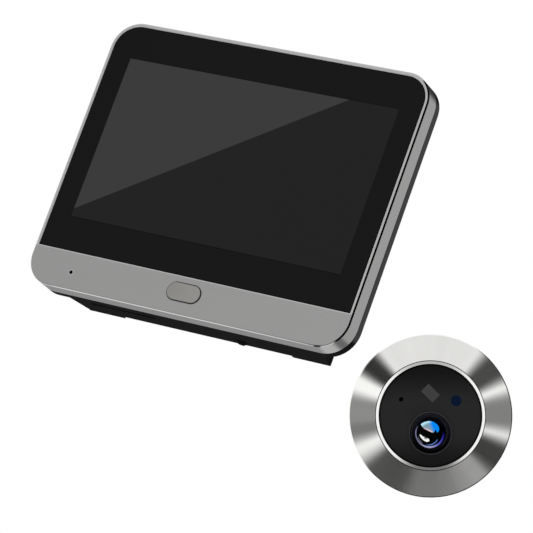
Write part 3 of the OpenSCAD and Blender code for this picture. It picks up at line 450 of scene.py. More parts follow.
@finish
def button_plastic(p, casing):
    grain = p.noise(p.at(), 0.2 * MM, 3)
    return p.grained(casing.button_colour, grain, (0.94, 0.12), (0.35, 0.1), (0.004 * MM, 0.3), metallic=0.55)


def brushed(p, tone, where, cloud, rough):
    """Bare metal with fine lines along one axis of a place, and soft clouds."""
    lines, bloom = p.noise(where, 0.25 * MM, 3), p.noise(p.at(), cloud, 3)
    return p.done(
        base_color=p.scale(tone, 0.85 + 0.2 * lines + 0.1 * bloom), metallic=1.0,
        roughness=rough[0] + rough[1] * bloom, normal=p.bump(lines, 0.004 * MM, 0.4),
    )


@finish
def steel(p):
    return brushed(p, (0.56, 0.565, 0.57), p.at(stretch=(0.08, 1, 1)), 6 * MM, (0.26, 0.16))


@finish
def nut_metal(p):
    along = p.at(HEAD_PLACE, HEAD_TURN, (1, 0.08, 1))
    return brushed(p, (0.27, 0.265, 0.25), along, 3 * MM, (0.2, 0.14))


@finish
def bezel_metal(p, head):
    x, z = p.on_head()
    marks = p.rings(far(x, z), 9000.0, 3.0)
    spoke = p.node("VectorMath", {"operation": "NORMALIZE"}, {0: p.node("CombineXYZ", {}, {"X": x, "Z": z})})
    # Painted sheen: streaks of lighter and darker metal running out along the spokes
    sheen_streak = p.noise(spoke, 0.22, 2)
    return p.done(
        base_color=p.scale(head.bezel_colour, (0.97 + 0.06 * marks) * (0.93 + 0.14 * sheen_streak)), metallic=1.0,
        roughness=head.bezel_roughness - 0.02 + 0.04 * marks, normal=p.bump(marks, 0.001 * MM, 0.25),
    )


@finish
def trim_metal(p, head):
    marks = p.rings(far(*p.on_head()), 12000.0)
    return p.grained(head.trim_colour, marks, (0.97, 0.06), (0.1, 0.06), metallic=1.0)


@finish
def face_black(p, head):
    x, z = p.on_head()
    grain = p.noise(p.at(), 0.15 * MM, 2)
    # Painted shade: a darker ring at the face's edge, at the foot of the trim, and the face darker toward its
    # top and its bottom
    rim = p.step(far(x, z), 14.55 * MM, 14.7 * MM)
    above, below = p.step(z, 3 * MM, 14 * MM), p.step(-1 * z, 4 * MM, 15 * MM)
    shade = (1 - 0.65 * above) * (1 - 0.62 * below) * (1 - 0.85 * rim)
    return p.done(
        base_color=p.scale(head.face_colour, (0.9 + 0.2 * grain) * shade),
        roughness=0.2 + 0.06 * grain, specular_ior_level=0.02,
    )


@finish
def lens_black(p, head):
    x, z = p.on_head(LENS_DROP)
    radius = far(x, z)
    marks = p.rings(radius, 7000.0)
    # Painted highlights on the black ring: a lighter outer edge all round, a lighter line on the upper left, a
    # lighter inner part on the right, and the ring lighter toward its top
    outer = p.step(radius, 5.92 * MM, 6.05 * MM)
    front = p.line(radius, 5.5 * MM, 0.05 * MM, 0.15 * MM) * p.step((z - x) / radius, -0.2, 0.9)
    inner = (1 - p.step(radius, 4.85 * MM, 5.0 * MM)) * p.step(x / radius, 0.5, 0.9)
    upper = 0.15 + 2.0 * p.step(z, -4 * MM, 4.5 * MM)
    tone = p.mix(outer, p.scale(head.ring_colour, upper), (0.04, 0.04, 0.043))
    tone = p.mix(inner, tone, (0.02, 0.02, 0.022))
    tone = p.mix(0.6 * front, tone, (0.03, 0.03, 0.034))
    return p.grained(tone, marks, (0.8, 0.4), (0.4, 0.1), specular_ior_level=0.01)


@finish
def lens_glass(p, head):
    x, z = p.on_head(LENS_DROP)
    radius = far(x, z)
    # Painted reflections of the coated lens elements, in the coating's colours: an arc round the lower half, a
    # thin blue arc low down and a short pale arc at the lower left
    shown = 1 - p.step(z + 0.25 * x, -0.6 * MM, 1.6 * MM)
    wide = p.step(x, -4 * MM, 0.0)
    coat_reflection = shown * p.line(far(x + 0.22 * MM, z), 4.06 * MM, (0.04 + 0.1 * wide) * MM, (0.24 + 0.14 * wide) * MM)
    thin = p.line(far(x + 0.55 * MM, z + 0.45 * MM), 2.95 * MM, 0.064 * MM, 0.16 * MM)
    thin = thin * p.step(x, -1.6 * MM, 0.2 * MM) * (1 - p.step(z, -2.4 * MM, -1.5 * MM))
    short = p.line(radius, 3.76 * MM, 0.048 * MM, 0.12 * MM)
    short = short * p.step((-0.82 * x - 0.57 * z) / radius, 0.94, 0.985)
    tint = p.node("ValToRGB", {"stops": (
        (0.05, (0.36, 0.37, 0.62)), (0.3, (0.56, 0.56, 0.95)), (0.52, head.coat_reflection_colour),
        (0.8, (0.14, 0.14, 0.75)), (0.97, (0.012, 0.01, 0.38)),
    )}, {0: 0.5 + x / (8.2 * MM)})
    deep = p.mix(p.step(radius, 3.5 * MM, 4.4 * MM), head.dome_colour, (0.0006, 0.0006, 0.006))
    tone = p.mix(coat_reflection, deep, tint)
    tone = p.mix(thin, tone, (0.17, 0.36, 0.95))
    tone = p.mix(0.55 * short, tone, (0.4, 0.46, 0.62))
    return p.done(base_color=tone, roughness=0.03 + 0.02 * coat_reflection, specular_ior_level=0.02)


@finish
def ir_filter(p, head):
    cloud = p.noise(p.at(), 1.2 * MM, 2)
    return p.grained(head.window_colour, cloud, (0.9, 0.2), (0.22, 0.05), specular_ior_level=0.15)


@finish
def light_filter(p, head):
    cloud = p.noise(p.at(), 1.5 * MM, 2)
    return p.grained(head.sensor_colour, cloud, (0.8, 0.4), (0.15, 0.05), specular_ior_level=0.03)


@finish
def inner_glass(p):
    cloud = p.noise(p.at(), 2 * MM, 2)
    return p.grained((0.02, 0.02, 0.05), cloud, (0.8, 0.4), (0.05, 0.03))


@finish
def display_dark(p):
    rows = p.node("TexWave", {"bands_direction": "X"}, {"Vector": p.at(), "Scale": 900.0})
    return p.grained((0.02, 0.021, 0.024), rows, (0.8, 0.4), (0.25, 0.1))


@finish
def circuit_board(p):
    cells = p.node("TexBrick", {"offset": 0.5}, {
        "Vector": p.at(turn=(math.pi / 2, 0, 0)), "Scale": 220.0, "Mortar Size": 0.06, "Mortar Smooth": 0.2,
        "Color1": (0.006, 0.075, 0.03), "Color2": (0.008, 0.09, 0.036), "Mortar": (0.02, 0.16, 0.06),
    })
    grain = p.noise(p.at(), 0.6 * MM, 2)
    return p.grained(cells, grain, (0.85, 0.3), (0.38, 0.15), specular_ior_level=0.3)


@finish
def chip_black(p):
    grain = p.noise(p.at(), 0.12 * MM, 3)
    return p.grained((0.014, 0.014, 0.015), grain, (0.7, 0.6), (0.55, 0.2), (0.01 * MM, 0.4),
                     specular_ior_level=0.2)


@finish
def connector_ivory(p):
    cloud = p.noise(p.at(), 1.5 * MM, 3)
    return p.grained((0.68, 0.62, 0.48), cloud, (0.9, 0.2), (0.4, 0.15), specular_ior_level=0.35)


@finish
def contact_brass(p):
    lines = p.noise(p.at(stretch=(1, 0.1, 1)), 0.1 * MM, 3)
    return p.grained((0.75, 0.56, 0.24), lines, (0.85, 0.3), (0.2, 0.15), metallic=1.0)


@finish
def ribbon_amber(p):
    lines = p.node("TexWave", {"bands_direction": "X"}, {"Vector": p.at(), "Scale": 500.0})
    tone = p.mix(p.step(lines, 0.45, 0.6), (0.42, 0.2, 0.03), (0.6, 0.33, 0.08))
    return p.done(base_color=tone, roughness=0.32 + 0.1 * lines)


@finish
def battery_foil(p):
    crease = p.noise(p.at(), 5 * MM, 5)
    return p.grained((0.5, 0.52, 0.56), crease, (0.85, 0.3), (0.28, 0.2), (0.15 * MM, 0.5), metallic=0.85)


@finish
def foam_grey(p):
    cells = p.noise(p.at(), 0.4 * MM, 4)
    return p.grained((0.045, 0.045, 0.046), cells, (0.6, 0.8), (0.85, 0.1), (0.08 * MM, 0.7),
                     specular_ior_level=0.05)


@finish
def white_plastic(p):
    cloud = p.noise(p.at(), 0.8 * MM, 2)
    return p.grained((0.75, 0.75, 0.72), cloud, (0.94, 0.12), (0.35, 0.1))


def switch(mode):
    bpy.ops.object.mode_set(mode=mode)


def settle():
    """Leave the active piece's place, turn and size in its mesh."""
    bpy.ops.object.transform_apply(location=True, rotation=True, scale=True)


def smooth(degrees):
    """Shade the active piece smooth over edges up to an angle."""
    bpy.ops.object.shade_smooth_by_angle(angle=math.radians(degrees))


def drawn_out(depth):
    """Extrude what is selected along Y."""
    bpy.ops.mesh.extrude_region_move(TRANSFORM_OT_translate={"value": (0, depth, 0)})


def clear():
    """Object mode, with nothing selected."""
    if bpy.context.object and bpy.context.object.mode != "OBJECT":
        switch("OBJECT")
    bpy.ops.object.select_all(action="DESELECT")


def take(piece):
    """Select one piece and make it active."""
    clear()
    piece.select_set(True)
    bpy.context.view_layer.objects.active = piece
    return piece


def started(name):
    """Name the piece that was just added."""
    piece = bpy.context.object
    piece.name = name
    piece.data.name = name
    return piece


def choose(piece, part, test):
    """Edit mode with only those vertices or faces selected that pass a test."""
    switch("EDIT")
    bpy.ops.mesh.select_mode(type=part)
    bpy.ops.mesh.select_all(action="DESELECT")
    switch("OBJECT")
    for thing in piece.data.vertices if part == "VERT" else piece.data.polygons:
        thing.select = bool(test(thing))
    switch("EDIT")


def welded(piece, ends=0):
    """Merge doubles, close ends of up to so many sides, and turn all faces outwards."""
    switch("EDIT")
    bpy.ops.mesh.select_all(action="SELECT")
    bpy.ops.mesh.remove_doubles(threshold=WELD)
    if ends:
        bpy.ops.mesh.fill_holes(sides=ends)
        bpy.ops.mesh.select_all(action="SELECT")
    bpy.ops.mesh.normals_make_consistent(inside=False)
    switch("OBJECT")
    return piece


def rounded(piece, width, segments=3, limit=28.0, flats=False):
    """Round the edges that are sharper than a limit, and shade the rest smooth, with flats kept even."""
    take(piece)
    edge = piece.modifiers.new("edges", "BEVEL")
    edge.width, edge.segments, edge.limit_method = width, segments, "ANGLE"
    edge.angle_limit, edge.harden_normals, edge.use_clamp_overlap = math.radians(limit), False, True
    bpy.ops.object.modifier_apply(modifier=edge.name)
    smooth(limit)
    if flats:
        even = piece.modifiers.new("flats", "WEIGHTED_NORMAL")
        even.mode, even.weight, even.keep_sharp = "FACE_AREA", 100, True
        bpy.ops.object.modifier_apply(modifier=even.name)
    return piece


def outline(points):
    """Draw a chain of edges through points in X and Y, closed, from one vertex."""
    clear()
    bpy.ops.mesh.primitive_plane_add(size=MM)
    switch("EDIT")
    bpy.ops.mesh.select_mode(type="VERT")
    bpy.ops.mesh.merge(type="CENTER")
    bpy.ops.transform.translate(value=(points[0][0] * MM, points[0][1] * MM, 0))
    for (x0, y0), (x1, y1) in zip(points, points[1:] + points[:1]):
        bpy.ops.mesh.extrude_vertices_move(
            TRANSFORM_OT_translate={"value": ((x1 - x0) * MM, (y1 - y0) * MM, 0)}
        )
    bpy.ops.mesh.select_all(action="SELECT")
    bpy.ops.mesh.remove_doubles(threshold=WELD)


def turned(name, points, steps):
    """Spin a closed outline of radius and depth about the Y axis."""
    outline(points)
    bpy.ops.mesh.spin(steps=steps, angle=math.tau, center=(0, 0, 0), axis=(0, 1, 0))
    switch("OBJECT")
    return welded(started(name))


def onto_head(piece, drop=0.0):
    """Move a piece from the world's axes onto the head's, and leave its place in its mesh."""
    take(piece)
    piece.matrix_world = HEAD @ Matrix.Translation((0, 0, -drop))
    settle()
    return piece


def copied(node, name):
    """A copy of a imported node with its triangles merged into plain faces."""
    clear()
    piece = bpy.data.objects.new(name, frame["nodes"][node].data.copy())
    bpy.context.scene.collection.objects.link(piece)
    take(piece)
    if piece.data.has_custom_normals:
        bpy.ops.mesh.customdata_custom_splitnormals_clear()
    switch("EDIT")
    bpy.ops.mesh.select_all(action="SELECT")
    bpy.ops.mesh.remove_doubles(threshold=PACKED_WELD)
    bpy.ops.mesh.dissolve_limited(angle_limit=math.radians(0.4))
    switch("OBJECT")
    return piece


def dress(piece, body, slot, *materials, stands_for=None):
    """Give a piece its materials and its body, and hide the node that it stands for."""
    piece.data.materials.clear()
    for material in materials:
        piece.data.materials.append(material)
    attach(piece, body)
    if stands_for:
        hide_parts(stands_for)
    clear()


def recolour(piece, index, test):
    """Give the faces that pass a test another of the piece's materials."""
    take(piece)
    choose(piece, "FACE", test)
    piece.active_material_index = index
    bpy.ops.object.material_slot_assign()
    clear()


def paint_nodes(slot, material, *nodes):
    """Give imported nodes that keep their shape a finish."""
    for node in nodes:
        mesh = frame["nodes"][node].data
        mesh.materials.clear()
        mesh.materials.append(material)


def lit_apart():
    """Each piece is lit by itself, so none shows in another's gloss."""
    for piece in bpy.context.scene.objects:
        if piece.get("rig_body"):
            piece.visible_glossy = False


class DOORCAM_OT_stage(bpy.types.Operator):
    """Set the floor, the soft light and the camera"""

    bl_idname = "doorcam.stage"
    bl_label = "Studio"

    # Belts of the room that the head's cone, its outer edge and its trim show, as cosines from its axis
    CONE, LOW = (0.06, 0.14, 0.38, 0.46), (0.2, 0.25, 0.38, 0.46)
    EDGE, TRIM = (-0.34, -0.24, 0.02, 0.08), (0.86, 0.91, 0.98, 0.993)
    # Dark flags round the head: name, belt, azimuth clockwise from its top, half width, soft edge, darkness
    FLAGS = (
        ("top", CONE, 0, 32, 14, 0.22),
        ("upper right", CONE, 53, 4, 13, 0.94),
        ("right", CONE, 87, 7, 12, 0.75),
        ("right side", CONE, 97, 12, 12, 0.12),
        ("lower right", CONE, 120.7, 4, 13, 0.95),
        ("below", LOW, 180, 48, 9, 0.7),
        ("low", LOW, 197, 15, 40, 0.52),
        ("lower left", LOW, 217, 10, 16, 0.68),
        ("left side", CONE, 256, 3, 8, 0.3),
        ("left", CONE, 269, 11, 11, 0.73),
        ("upper left", CONE, 310, 3, 10.5, 0.97),
        ("round the edge", EDGE, 135, 90, 15, 0.97),
        ("over the edge", EDGE, 312, 3, 8, 0.85),
        ("over the trim", TRIM, 0, 10, 38, 0.5),
        ("under the trim", TRIM, 180, 16, 26, 0.83),
    )
    # Soft boxes close in front of the lens, in millimetres from its axis
    UPPER_BOX = (
        (-7.6, 6.9), (-5.6, 4.4), (-3.7, 2.7), (-1.0, 1.25), (0.6, 0.5), (1.6, 0.4), (2.3, 0.8), (2.9, 2.0),
        (3.4, 1.9), (3.9, 0.7), (4.5, 0.5), (5.3, 1.2), (5.9, 2.7), (5.6, 4.6), (4.5, 6.3), (2.6, 7.9),
        (0.2, 8.9), (-2.2, 8.9), (-4.5, 8.4), (-6.4, 7.7),
    )
    LOWER_BOX = (
        (-7.6, -1.3), (-7.0, -2.6), (-5.5, -4.2), (-4.0, -5.2), (-2.5, -5.8), (-1.2, -5.5), (-0.6, -4.5),
        (-0.9, -3.7), (-1.7, -3.0), (-3.7, -2.1), (-4.6, -2.2), (-6.3, -1.1), (-7.2, -0.9),
    )
    # Dark cloths for the monitor: name, direction, cosines where it starts and is full, darkness
    CLOTHS = (
        ("below the casing", (-0.5, 0.84, -0.215), 0.95, 0.99, 0.54),
        ("behind the casing", (0.48, 0.84, 0.25), 0.6, 0.95, 0.22),
        ("beside the corner", (0.31, 0.85, -0.42), 0.974, 0.996, 0.72),
        ("above the corner", (-0.3, 0.85, 0.43), 0.84, 0.95, 0.97),
    )
    # A dark strip beside the monitor: its soft limits to the right, toward the eye and up, and its darkness
    STRIP = (0.3, 0.45, 1.1, 1.2), (0.1, 0.2, 0.52, 0.58), (-0.8, -0.65, 0.45, 0.6)
    STRIP_DARK = 0.97

    def execute(self, context):
        studio = context.scene.doorcam_studio
        context.scene.view_settings.view_transform = "Standard"
        self.lay_floor(studio)
        self.light_room(context, studio)
        self.lens_boxes(studio)
        self.hang_lamp(studio)
        self.set_camera(context, studio)
        clear()
        return {"FINISHED"}

    def lay_floor(self, studio):
        """A wide pale floor that gloss doesn't show."""
        clear()
        bpy.ops.mesh.primitive_plane_add(size=9, location=(0, 0, -studio.floor_drop))
        floor = started("floor")
        p = Finish("floor")
        dust = p.noise(p.at(), 0.12, 3)
        floor.data.materials.append(p.grained(studio.floor_colour, dust, (0.985, 0.03), (0.8, 0.1)))
        floor.visible_glossy = False

    def hang_lamp(self, studio):
        """One large soft lamp at the upper left that gloss doesn't show."""
        bpy.ops.object.light_add(type="AREA", location=(-1.1, -1.5, 1.2))
        lamp = started("soft_key")
        lamp.data.shape, lamp.data.size, lamp.data.energy = "DISK", 1.3, studio.key
        lamp.rotation_euler = (-lamp.location).to_track_quat("-Z", "Y").to_euler()
        lamp.visible_glossy = lamp.visible_camera = False

    def set_camera(self, context, studio):
        """A camera at a distance from its aim, placed by its angles."""
        flat = math.cos(studio.elevation)
        back = Vector((
            math.sin(studio.azimuth) * flat, -math.cos(studio.azimuth) * flat, math.sin(studio.elevation)
        ))
        level = Vector((0, 0, 1)).cross(back).normalized()
        right = math.cos(studio.roll) * level + math.sin(studio.roll) * back.cross(level)
        turn = Matrix((right, back.cross(right), back)).transposed().to_4x4()
        bpy.ops.object.camera_add()
        camera = started("photo_view")
        camera.matrix_world = Matrix.Translation(Vector(studio.aim) + back * studio.distance) @ turn
        camera.data.lens, camera.data.sensor_width = studio.focal, 36
        camera.data.clip_start, camera.data.clip_end = 0.01, 50
        context.scene.camera = camera

    def lens_boxes(self, studio):
        """Two soft boxes close in front of the lens, which only the lens shows."""
        shown_in = bpy.data.collections.new(LENS_LIGHT)
        for name, points, tone in (("upper_soft_box", self.UPPER_BOX, self.upper_tone),
                                   ("lower_soft_box", self.LOWER_BOX, self.lower_tone)):
            outline(list(points))
            bpy.ops.mesh.edge_face_add()
            switch("OBJECT")
            box = started(name)
            box.rotation_euler.x = math.pi / 2
            settle()
            p = Finish(name)
            x, _, z = p.split(p.at(stretch=(1 / MM,) * 3))
            box.data.materials.append(p.glow(tone(p, x, z), studio.lens_glow))
            box.matrix_world = HEAD @ Matrix.Translation((0, -5 * MM, -LENS_DROP))
            box.visible_camera = box.visible_diffuse = box.visible_shadow = box.visible_transmission = False
            box.light_linking.receiver_collection = shown_in
        clear()

    def upper_tone(self, p, x, z):
        """Grey-blue on the left and azure on the right, with a pale upper left edge and a pink lower one."""
        tone = p.mix(p.step(x + 0.37 * z - 2.35, -1.9, 1.3), (0.24, 0.37, 0.46), (0.0, 0.27, 1.0))
        high = p.step(far(x, z), 5.9, 8.3) * (1 - p.step(x, -1.5, 1.5))
        low = (1 - p.step(z + 0.43 * x, 1.2, 2.2)) * (1 - p.step(x, 0.4, 2.4))
        return p.mix(low, p.mix(high, tone, (0.5, 0.86, 1.0)), (0.8, 0.62, 0.68))

    def lower_tone(self, p, x, z):
        """White, with a grey place at the upper edge."""
        return p.mix(p.step(far(x + 2.9, z + 2.5), 0.6, 1.9), (0.14, 0.14, 0.15), (1.0, 1.0, 1.0))

    def light_room(self, context, studio):
        """White all round for the eye, with dark flags, cloths and a strip that only gloss shows."""
        world = bpy.data.worlds.new("white_room")
        context.scene.world = world
        world.use_nodes = True
        p = Paint(world.node_tree)
        way = p.node("TexCoord", out="Generated")
        side, up, front = p.dot(way, HEAD_RIGHT), p.dot(way, HEAD_UP), p.dot(way, -HEAD_INTO)
        off_axis = far(side, up)
        look = 1.0
        for _, belt, azimuth, half, soft, dark in self.FLAGS:
            a = math.radians(azimuth)
            toward = (math.sin(a) * side + math.cos(a) * up) / off_axis
            edge = [math.cos(math.radians(half + s * soft)) for s in (1, 0)]
            look = look * (1 - dark * p.step(toward, *edge) * p.between(front, *belt))
        for _, toward, start, full, dark in self.CLOTHS:
            look = look * (1 - dark * p.step(p.dot(way, Vector(toward).normalized()), start, full))
        x, y, z = p.split(way)
        strip = self.STRIP_DARK
        for value, limits in zip((x, -1 * y, z), self.STRIP):
            strip = strip * p.between(value, *limits)
        glossy = p.scale((1.0, 1.0, 1.0), look * (1 - strip))
        path = p.node("LightPath", out="Is Camera Ray")
        seen = path + path.out("Is Transmission Ray")
        tone = p.mix(path.out("Is Glossy Ray"), (studio.light,) * 3, glossy)
        room = p.node("Background", {}, {"Color": p.mix(seen, tone, (1.0, 1.0, 1.0)), "Strength": 1.0})
        p.end("World", room)


class DOORCAM_OT_casing(bpy.types.Operator):
    """Dress the metal front, the rear cover and its rubber rails"""

    bl_idname = "doorcam.casing"
    bl_label = "Monitor casing"

    def execute(self, context):
        casing = context.scene.doorcam_casing
        front = copied("front_frame", "metal_front")
        smooth(28)
        dress(front, "monitor", "frame_metal", frame_metal(casing), cut_edge(casing), rubber_black(casing),
              stands_for="front_frame")
        recolour(front, 1, lambda f: 0.3 < -f.normal.y < 0.95 and f.center.y < FRAME_LOW.y + 0.5 * MM)
        # The walls of the microphone's hole and the button's hole take the black rubber finish, as painted shade
        # in the holes
        recolour(front, 2, self.in_a_hole)
        cover = rounded(copied("rear_cover", "back_cover"), casing.cover_edge, 2, 35, flats=True)
        dress(cover, "monitor", "cover_plastic", cover_plastic(casing), cover_back(casing),
              stands_for="rear_cover")
        recolour(cover, 1, lambda f: f.normal.y > 0.7)
        self.rails(casing, *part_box("rear_pads"))
        return {"FINISHED"}

    def in_a_hole(self, face):
        """Tell whether a face is a wall of the microphone's hole or of the button's."""
        place, spare = face.center, 0.6 * MM
        deep = place.y > FRAME_LOW.y + 0.02 * MM and abs(face.normal.y) < 0.5
        at_mic = math.hypot(place.x - MIC.x, place.z - MIC.z) < 1.2 * MM
        at_key = all(BUTTON_LOW[i] - spare < place[i] < BUTTON_HIGH[i] + spare for i in (0, 2))
        return deep and (at_mic or at_key)

    def rails(self, casing, low, high):
        """Two rubber rails with a sunk grip face, modelled once and copied."""
        wide, border, sunk = 13 * MM, 1.6 * MM, 0.35 * MM
        middle = (low + high) / 2
        clear()
        bpy.ops.mesh.primitive_cube_add(size=1, location=(high.x - wide / 2, middle.y, middle.z))
        rail = started("rubber_rail_right")
        rail.scale = (wide, high.y - low.y, high.z - low.z)
        settle()
        choose(rail, "FACE", lambda f: f.normal.y > 0.9)
        bpy.ops.mesh.inset(thickness=border)
        drawn_out(-sunk)
        switch("OBJECT")
        rounded(rail, 0.4 * MM, 3, 40, flats=True)
        clear()
        other = rail.copy()
        other.data = rail.data.copy()
        other.name = other.data.name = "rubber_rail_left"
        bpy.context.scene.collection.objects.link(other)
        take(other)
        other.location.x = low.x + wide - high.x
        settle()
        for piece in (rail, other):
            dress(piece, "monitor", "rubber_black", rubber_black(casing), stands_for="rear_pads")


class DOORCAM_OT_display(bpy.types.Operator):
    """Dress the glass, the display and what lies under it"""

    bl_idname = "doorcam.display"
    bl_label = "Glass and display"

    def execute(self, context):
        casing = context.scene.doorcam_casing
        paint_nodes("black_glass", black_glass(context.scene.doorcam_glass), "cover_glass")
        paint_nodes("rubber_black", rubber_black(casing), "glass_tape", "display_gasket")
        paint_nodes("display_dark", display_dark(), "display_panel")
        paint_nodes("steel", steel(), "display_backlight")
        paint_nodes("ribbon_amber", ribbon_amber(), "display_ribbon")
        paint_nodes("connector_ivory", connector_ivory(), "ribbon_connector")
        return {"FINISHED"}


class DOORCAM_OT_buttons(bpy.types.Operator):
    """Model the oval button and dress the small power button"""

    bl_idname = "doorcam.buttons"
    bl_label = "Buttons"

    def execute(self, context):
        casing = context.scene.doorcam_casing
        self.oval(casing)
        self.nub(casing)
        paint_nodes("button_plastic", white_plastic(), "key_plunger")
        return {"FINISHED"}

    def oval(self, casing):
        """The oval button, with its flange behind the chin and a rounded front."""
        rim = flange = 0.5 * MM
        half = (BUTTON_HIGH - BUTTON_LOW) / 2
        middle = (BUTTON_HIGH + BUTTON_LOW) / 2
        radius, reach = half.z - rim, half.x - half.z
        clear()
        bpy.ops.mesh.primitive_circle_add(
            vertices=98, radius=radius, fill_type="NGON", rotation=(math.pi / 2, 0, 0)
        )
        button = started("oval_button")
        settle()
        for sign in (1, -1):
            choose(button, "VERT", lambda v: v.co.x * sign > 0)
            bpy.ops.transform.translate(value=(sign * reach, 0, 0))
        bpy.ops.mesh.select_all(action="SELECT")
        bpy.ops.transform.translate(value=(middle.x, BUTTON_LOW.y, middle.z))
        drawn_out(BUTTON_HIGH.y - flange - BUTTON_LOW.y)
        bpy.ops.mesh.inset(thickness=rim, use_outset=True)
        drawn_out(flange)
        switch("OBJECT")
        welded(button)
        choose(button, "FACE", lambda f: f.center.y < BUTTON_LOW.y + LEVEL)
        bpy.ops.mesh.bevel(offset=casing.button_edge, segments=4, affect="EDGES")
        switch("OBJECT")
        smooth(32)
        dress(button, "view_key", "button_plastic", button_plastic(casing), rubber_black(casing),
              stands_for="view_button")
        # The button's sides inside the hole take the black rubber finish, as painted shade
        recolour(button, 1, lambda f: f.center.y > FRAME_LOW.y + 0.35 * MM)

    def nub(self, casing):
        """The small power button, with a rounded tip."""
        nub = copied("power_button", "power_nub")
        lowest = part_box("power_button")[0].z
        choose(nub, "FACE", lambda f: f.center.z < lowest + LEVEL and f.normal.z < -0.9)
        bpy.ops.mesh.bevel(offset=0.5 * MM, segments=4, affect="EDGES")
        switch("OBJECT")
        smooth(32)
        dress(nub, "power_key", "rubber_black", rubber_black(casing), stands_for="power_button")


class DOORCAM_OT_electronics(bpy.types.Operator):
    """Dress the battery, the boards and what they carry"""

    bl_idname = "doorcam.electronics"
    bl_label = "Battery and boards"

    def execute(self, context):
        casing = context.scene.doorcam_casing
        paint_nodes("circuit_board", circuit_board(), "main_board", "key_board", "camera_board")
        paint_nodes("chip_black", chip_black(), "board_chips", "key_switch", "power_switch", "speaker",
                    "image_sensor", "light_sensor", "wifi_antenna", "camera_lead", "microphone")
        paint_nodes("steel", steel(), "shield_can", "usb_port", "board_screws", "key_board_screws")
        paint_nodes("connector_ivory", connector_ivory(), "camera_socket", "cable_socket", "ir_led")
        paint_nodes("contact_brass", contact_brass(), "socket_pins")
        paint_nodes("battery_foil", battery_foil(), "battery_pack")
        paint_nodes("foam_grey", foam_grey(), "battery_pad")
        paint_nodes("rubber_black", rubber_black(casing), "speaker_gasket", "mic_boot", "head_microphone")
        for node, name, body in (("case_screws", "cover_screws", "monitor"),
                                 ("head_screws", "plate_screws", "door_side")):
            screws = rounded(copied(node, name), 0.12 * MM, 2, 35)
            dress(screws, body, "steel", steel(), stands_for=node)
        return {"FINISHED"}


class DOORCAM_OT_bracket(bpy.types.Operator):
    """Dress the steel plate that the monitor hangs on"""

    bl_idname = "doorcam.bracket"
    bl_label = "Door bracket"

    def execute(self, context):
        plate = rounded(copied("door_bracket", "hook_plate"), 0.2 * MM, 2, 35, flats=True)
        dress(plate, "door_side", "steel", steel(), stands_for="door_bracket")
        return {"FINISHED"}


class DOORCAM_OT_bezel(bpy.types.Operator):
    """Turn the bezel and the bright trim ring"""

    bl_idname = "doorcam.bezel"
    bl_label = "Bezel and trim"

    def execute(self, context):
        head = context.scene.doorcam_head
        dark = rubber_black(context.scene.doorcam_casing)
        bezel = turned("turned_bezel", [
            (16.05, 0.3), (16.15, 0.094), (23.7, 5.7), (24.0, 6.0), (24.0, 7.85), (23.85, 8.0), (16.9, 8.0),
            (16.9, 3.5), (13.6, 3.5), (13.6, 2.5), (16.05, 2.5),
        ], head.segments)
        self.finished(bezel, "bezel_metal", "bezel_ring", bezel_metal(head), dark, ((14.0, 16.14),))
        trim = turned("bright_trim", [
            (15.05, 0.0), (15.13, -0.29), (15.92, -0.16), (15.95, 0.1), (15.95, 2.5), (15.05, 2.5),
        ], head.segments)
        self.finished(trim, "trim_metal", "trim_ring", trim_metal(head), dark, ((15.0, 15.11), (15.93, 16.0)))
        return {"FINISHED"}

    def finished(self, piece, slot, node, metal, dark, gaps):
        """Smooth a ring, and give its faces between the radii of the gaps beside it the black finish, as painted
        shade in the gaps.
        """
        to_head = HEAD.inverted()

        def in_a_gap(face):
            place = to_head @ face.center
            return any(low * MM < math.hypot(place.x, place.z) < high * MM for low, high in gaps)

        smooth(6)
        dress(onto_head(piece), "door_side", slot, metal, dark, stands_for=node)
        recolour(piece, 1, in_a_gap)


class DOORCAM_OT_face(bpy.types.Operator):
    """Dress the black face and its windows"""

    bl_idname = "doorcam.face"
    bl_label = "Face and windows"

    def execute(self, context):
        head = context.scene.doorcam_head
        casing = context.scene.doorcam_casing
        paint_nodes("face_black", face_black(head), "face_panel")
        paint_nodes("ir_filter", ir_filter(head), "ir_window")
        paint_nodes("light_filter", light_filter(head), "light_window")
        paint_nodes("rubber_black", rubber_black(casing), "face_seal", "door_gasket")
        return {"FINISHED"}


class DOORCAM_OT_lens(bpy.types.Operator):
    """Turn the lens ring and the domed front lens"""

    bl_idname = "doorcam.lens"
    bl_label = "Lens"

    def execute(self, context):
        head = context.scene.doorcam_head
        ring = turned("lens_bezel", [
            (4.75, 0.45), (5.85, -0.45), (6.3, -0.25), (6.3, 1.95), (6.9, 1.95), (6.9, 2.6), (4.75, 2.6),
        ], head.segments)
        rounded(ring, 0.1 * MM, 3, 20)
        dress(onto_head(ring, LENS_DROP), "door_side", "lens_black", lens_black(head), stands_for="lens_ring")
        edge, ball, proud, back, count = 4.7, 9.0, 0.55, 1.4, 28
        radii = [edge * i / count for i in range(count + 1)]
        arc = [(r, ball - proud - math.sqrt(ball * ball - r * r)) for r in radii]
        dome = turned("lens_dome", arc + [(edge, back), (0.0, back)], 128)
        smooth(30)
        dress(onto_head(dome, LENS_DROP), "door_side", "lens_glass", lens_glass(head),
              stands_for="lens_front")
        bpy.data.collections[LENS_LIGHT].objects.link(dome)
        paint_nodes("lens_glass", inner_glass(), "lens_inner")
        paint_nodes("lens_black", lens_black(head), "lens_barrel", "lens_holder")
        return {"FINISHED"}


